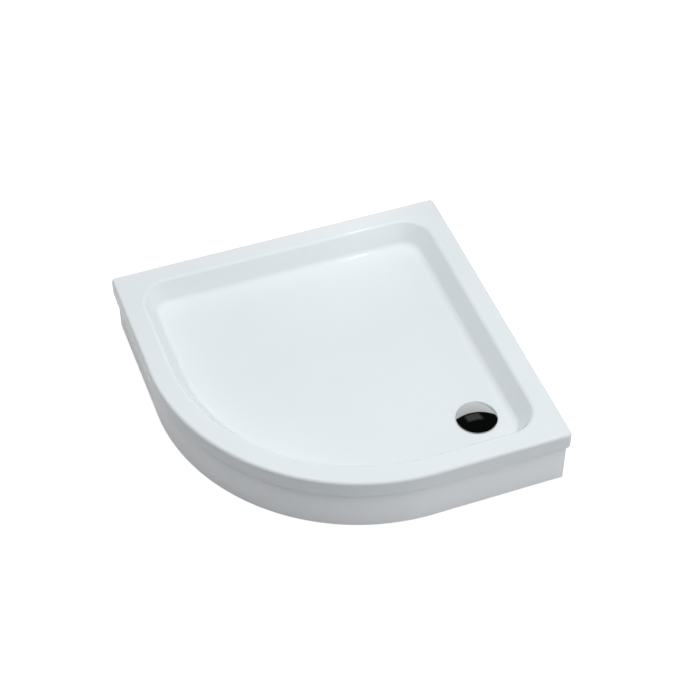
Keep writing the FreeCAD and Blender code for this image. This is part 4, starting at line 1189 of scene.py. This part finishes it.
def looked_at(tree, rays):
    """Node that gives 1 for rays that come straight from the camera or through something clear."""
    return add(tree, "Math", {0: rays["Is Camera Ray"], 1: rays["Is Transmission Ray"]}, operation="MAXIMUM")


def studio_floor():
    """White floor that keeps a soft shadow and gets whiter far away; other surfaces see it less bright."""
    bpy.ops.object.select_all(action="DESELECT")
    bpy.ops.mesh.primitive_circle_add(vertices=64, radius=FLOOR_REACH, fill_type="NGON")
    floor = bpy.context.object
    floor.name = "studio_floor"
    material, tree, place = new_material("studio_floor_white")
    rays = add(tree, "LightPath").outputs
    seen = add(tree, "Math", {0: looked_at(tree, rays), 1: rays["Is Glossy Ray"]}, operation="MAXIMUM")
    away = add(tree, "VectorMath", {0: place}, operation="LENGTH")
    straight = add(tree, "MapRange", {"Value": away, "From Min": FLOOR_NEAR, "From Max": FLOOR_FAR,
                                      "To Min": FLOOR_GLOW, "To Max": FLOOR_FAR_GLOW})
    level = add(tree, "MapRange", {"Value": rays["Is Glossy Ray"], "To Min": straight,
                                   "To Max": FLOOR_MIRRORED})
    lit = add(tree, "BsdfDiffuse", {"Color": linear(FLOOR_BOUNCE)})
    shadowed = add(tree, "BsdfDiffuse", {"Color": FLOOR_SHADOWED})
    glow = add(tree, "Emission", {"Color": WHITE, "Strength": level})
    bright = add(tree, "AddShader", {0: shadowed, 1: glow})
    both = add(tree, "MixShader", {"Fac": seen, 1: lit, 2: bright})
    add(tree, "OutputMaterial", {"Surface": both})
    floor.data.materials.append(material)


def surroundings():
    """White surroundings for the camera, a room for mirrors and a faint even light for the rest."""
    world = bpy.data.worlds.new("studio")
    bpy.context.scene.world = world
    world.use_nodes = True
    tree = world.node_tree
    tree.nodes.clear()
    rays = add(tree, "LightPath").outputs
    ambient = add(tree, "Background", {"Color": DAYLIGHT + (1,), "Strength": AMBIENT})
    room = add(tree, "Background", {"Color": WHITE, "Strength": mirrored_room(tree)})
    white = add(tree, "Background", {"Color": WHITE})
    lit = add(tree, "MixShader", {"Fac": rays["Is Glossy Ray"], 1: ambient, 2: room})
    whole = add(tree, "MixShader", {"Fac": looked_at(tree, rays), 1: lit, 2: white})
    add(tree, "OutputWorld", {"Surface": whole})


def lamps():
    """Soft lamps, which the camera doesn't see."""
    for name, place, target, size, power, spread, mirrored_too in LAMPS:
        lamp = bpy.data.lights.new(name, "AREA")
        lamp.shape = "ELLIPSE"
        lamp.size, lamp.size_y = size
        lamp.energy = power
        lamp.color = DAYLIGHT
        lamp.spread = math.radians(spread)
        holder = bpy.data.objects.new(name, lamp)
        bpy.context.scene.collection.objects.link(holder)
        holder.location = place
        holder.rotation_euler = (Vector(target) - Vector(place)).to_track_quat("-Z", "Y").to_euler()
        holder.visible_camera = False
        holder.visible_glossy = mirrored_too


def camera():
    """Camera at the photograph's viewing angle."""
    a, e = VIEW_AZIMUTH, VIEW_ELEVATION
    back = Vector((math.sin(a) * math.cos(e), -math.cos(a) * math.cos(e), math.sin(e)))
    right = Vector((math.cos(a), math.sin(a), 0))
    up = back.cross(right)
    lens = bpy.data.cameras.new("camera")
    lens.lens = VIEW_LENS
    holder = bpy.data.objects.new("camera", lens)
    bpy.context.scene.collection.objects.link(holder)
    across = math.cos(VIEW_ROLL) * right + math.sin(VIEW_ROLL) * up
    above = math.cos(VIEW_ROLL) * up - math.sin(VIEW_ROLL) * right
    eye = back * VIEW_DISTANCE + right * VIEW_RIGHT + up * VIEW_UP + Vector((0, 0, RIM_Z))
    holder.matrix_world = Matrix.Translation(eye) @ Matrix((across, above, back)).transposed().to_4x4()
    bpy.context.scene.camera = holder


studio_floor()
surroundings()
lamps()
camera()
bpy.context.scene.view_settings.view_transform = "Standard"
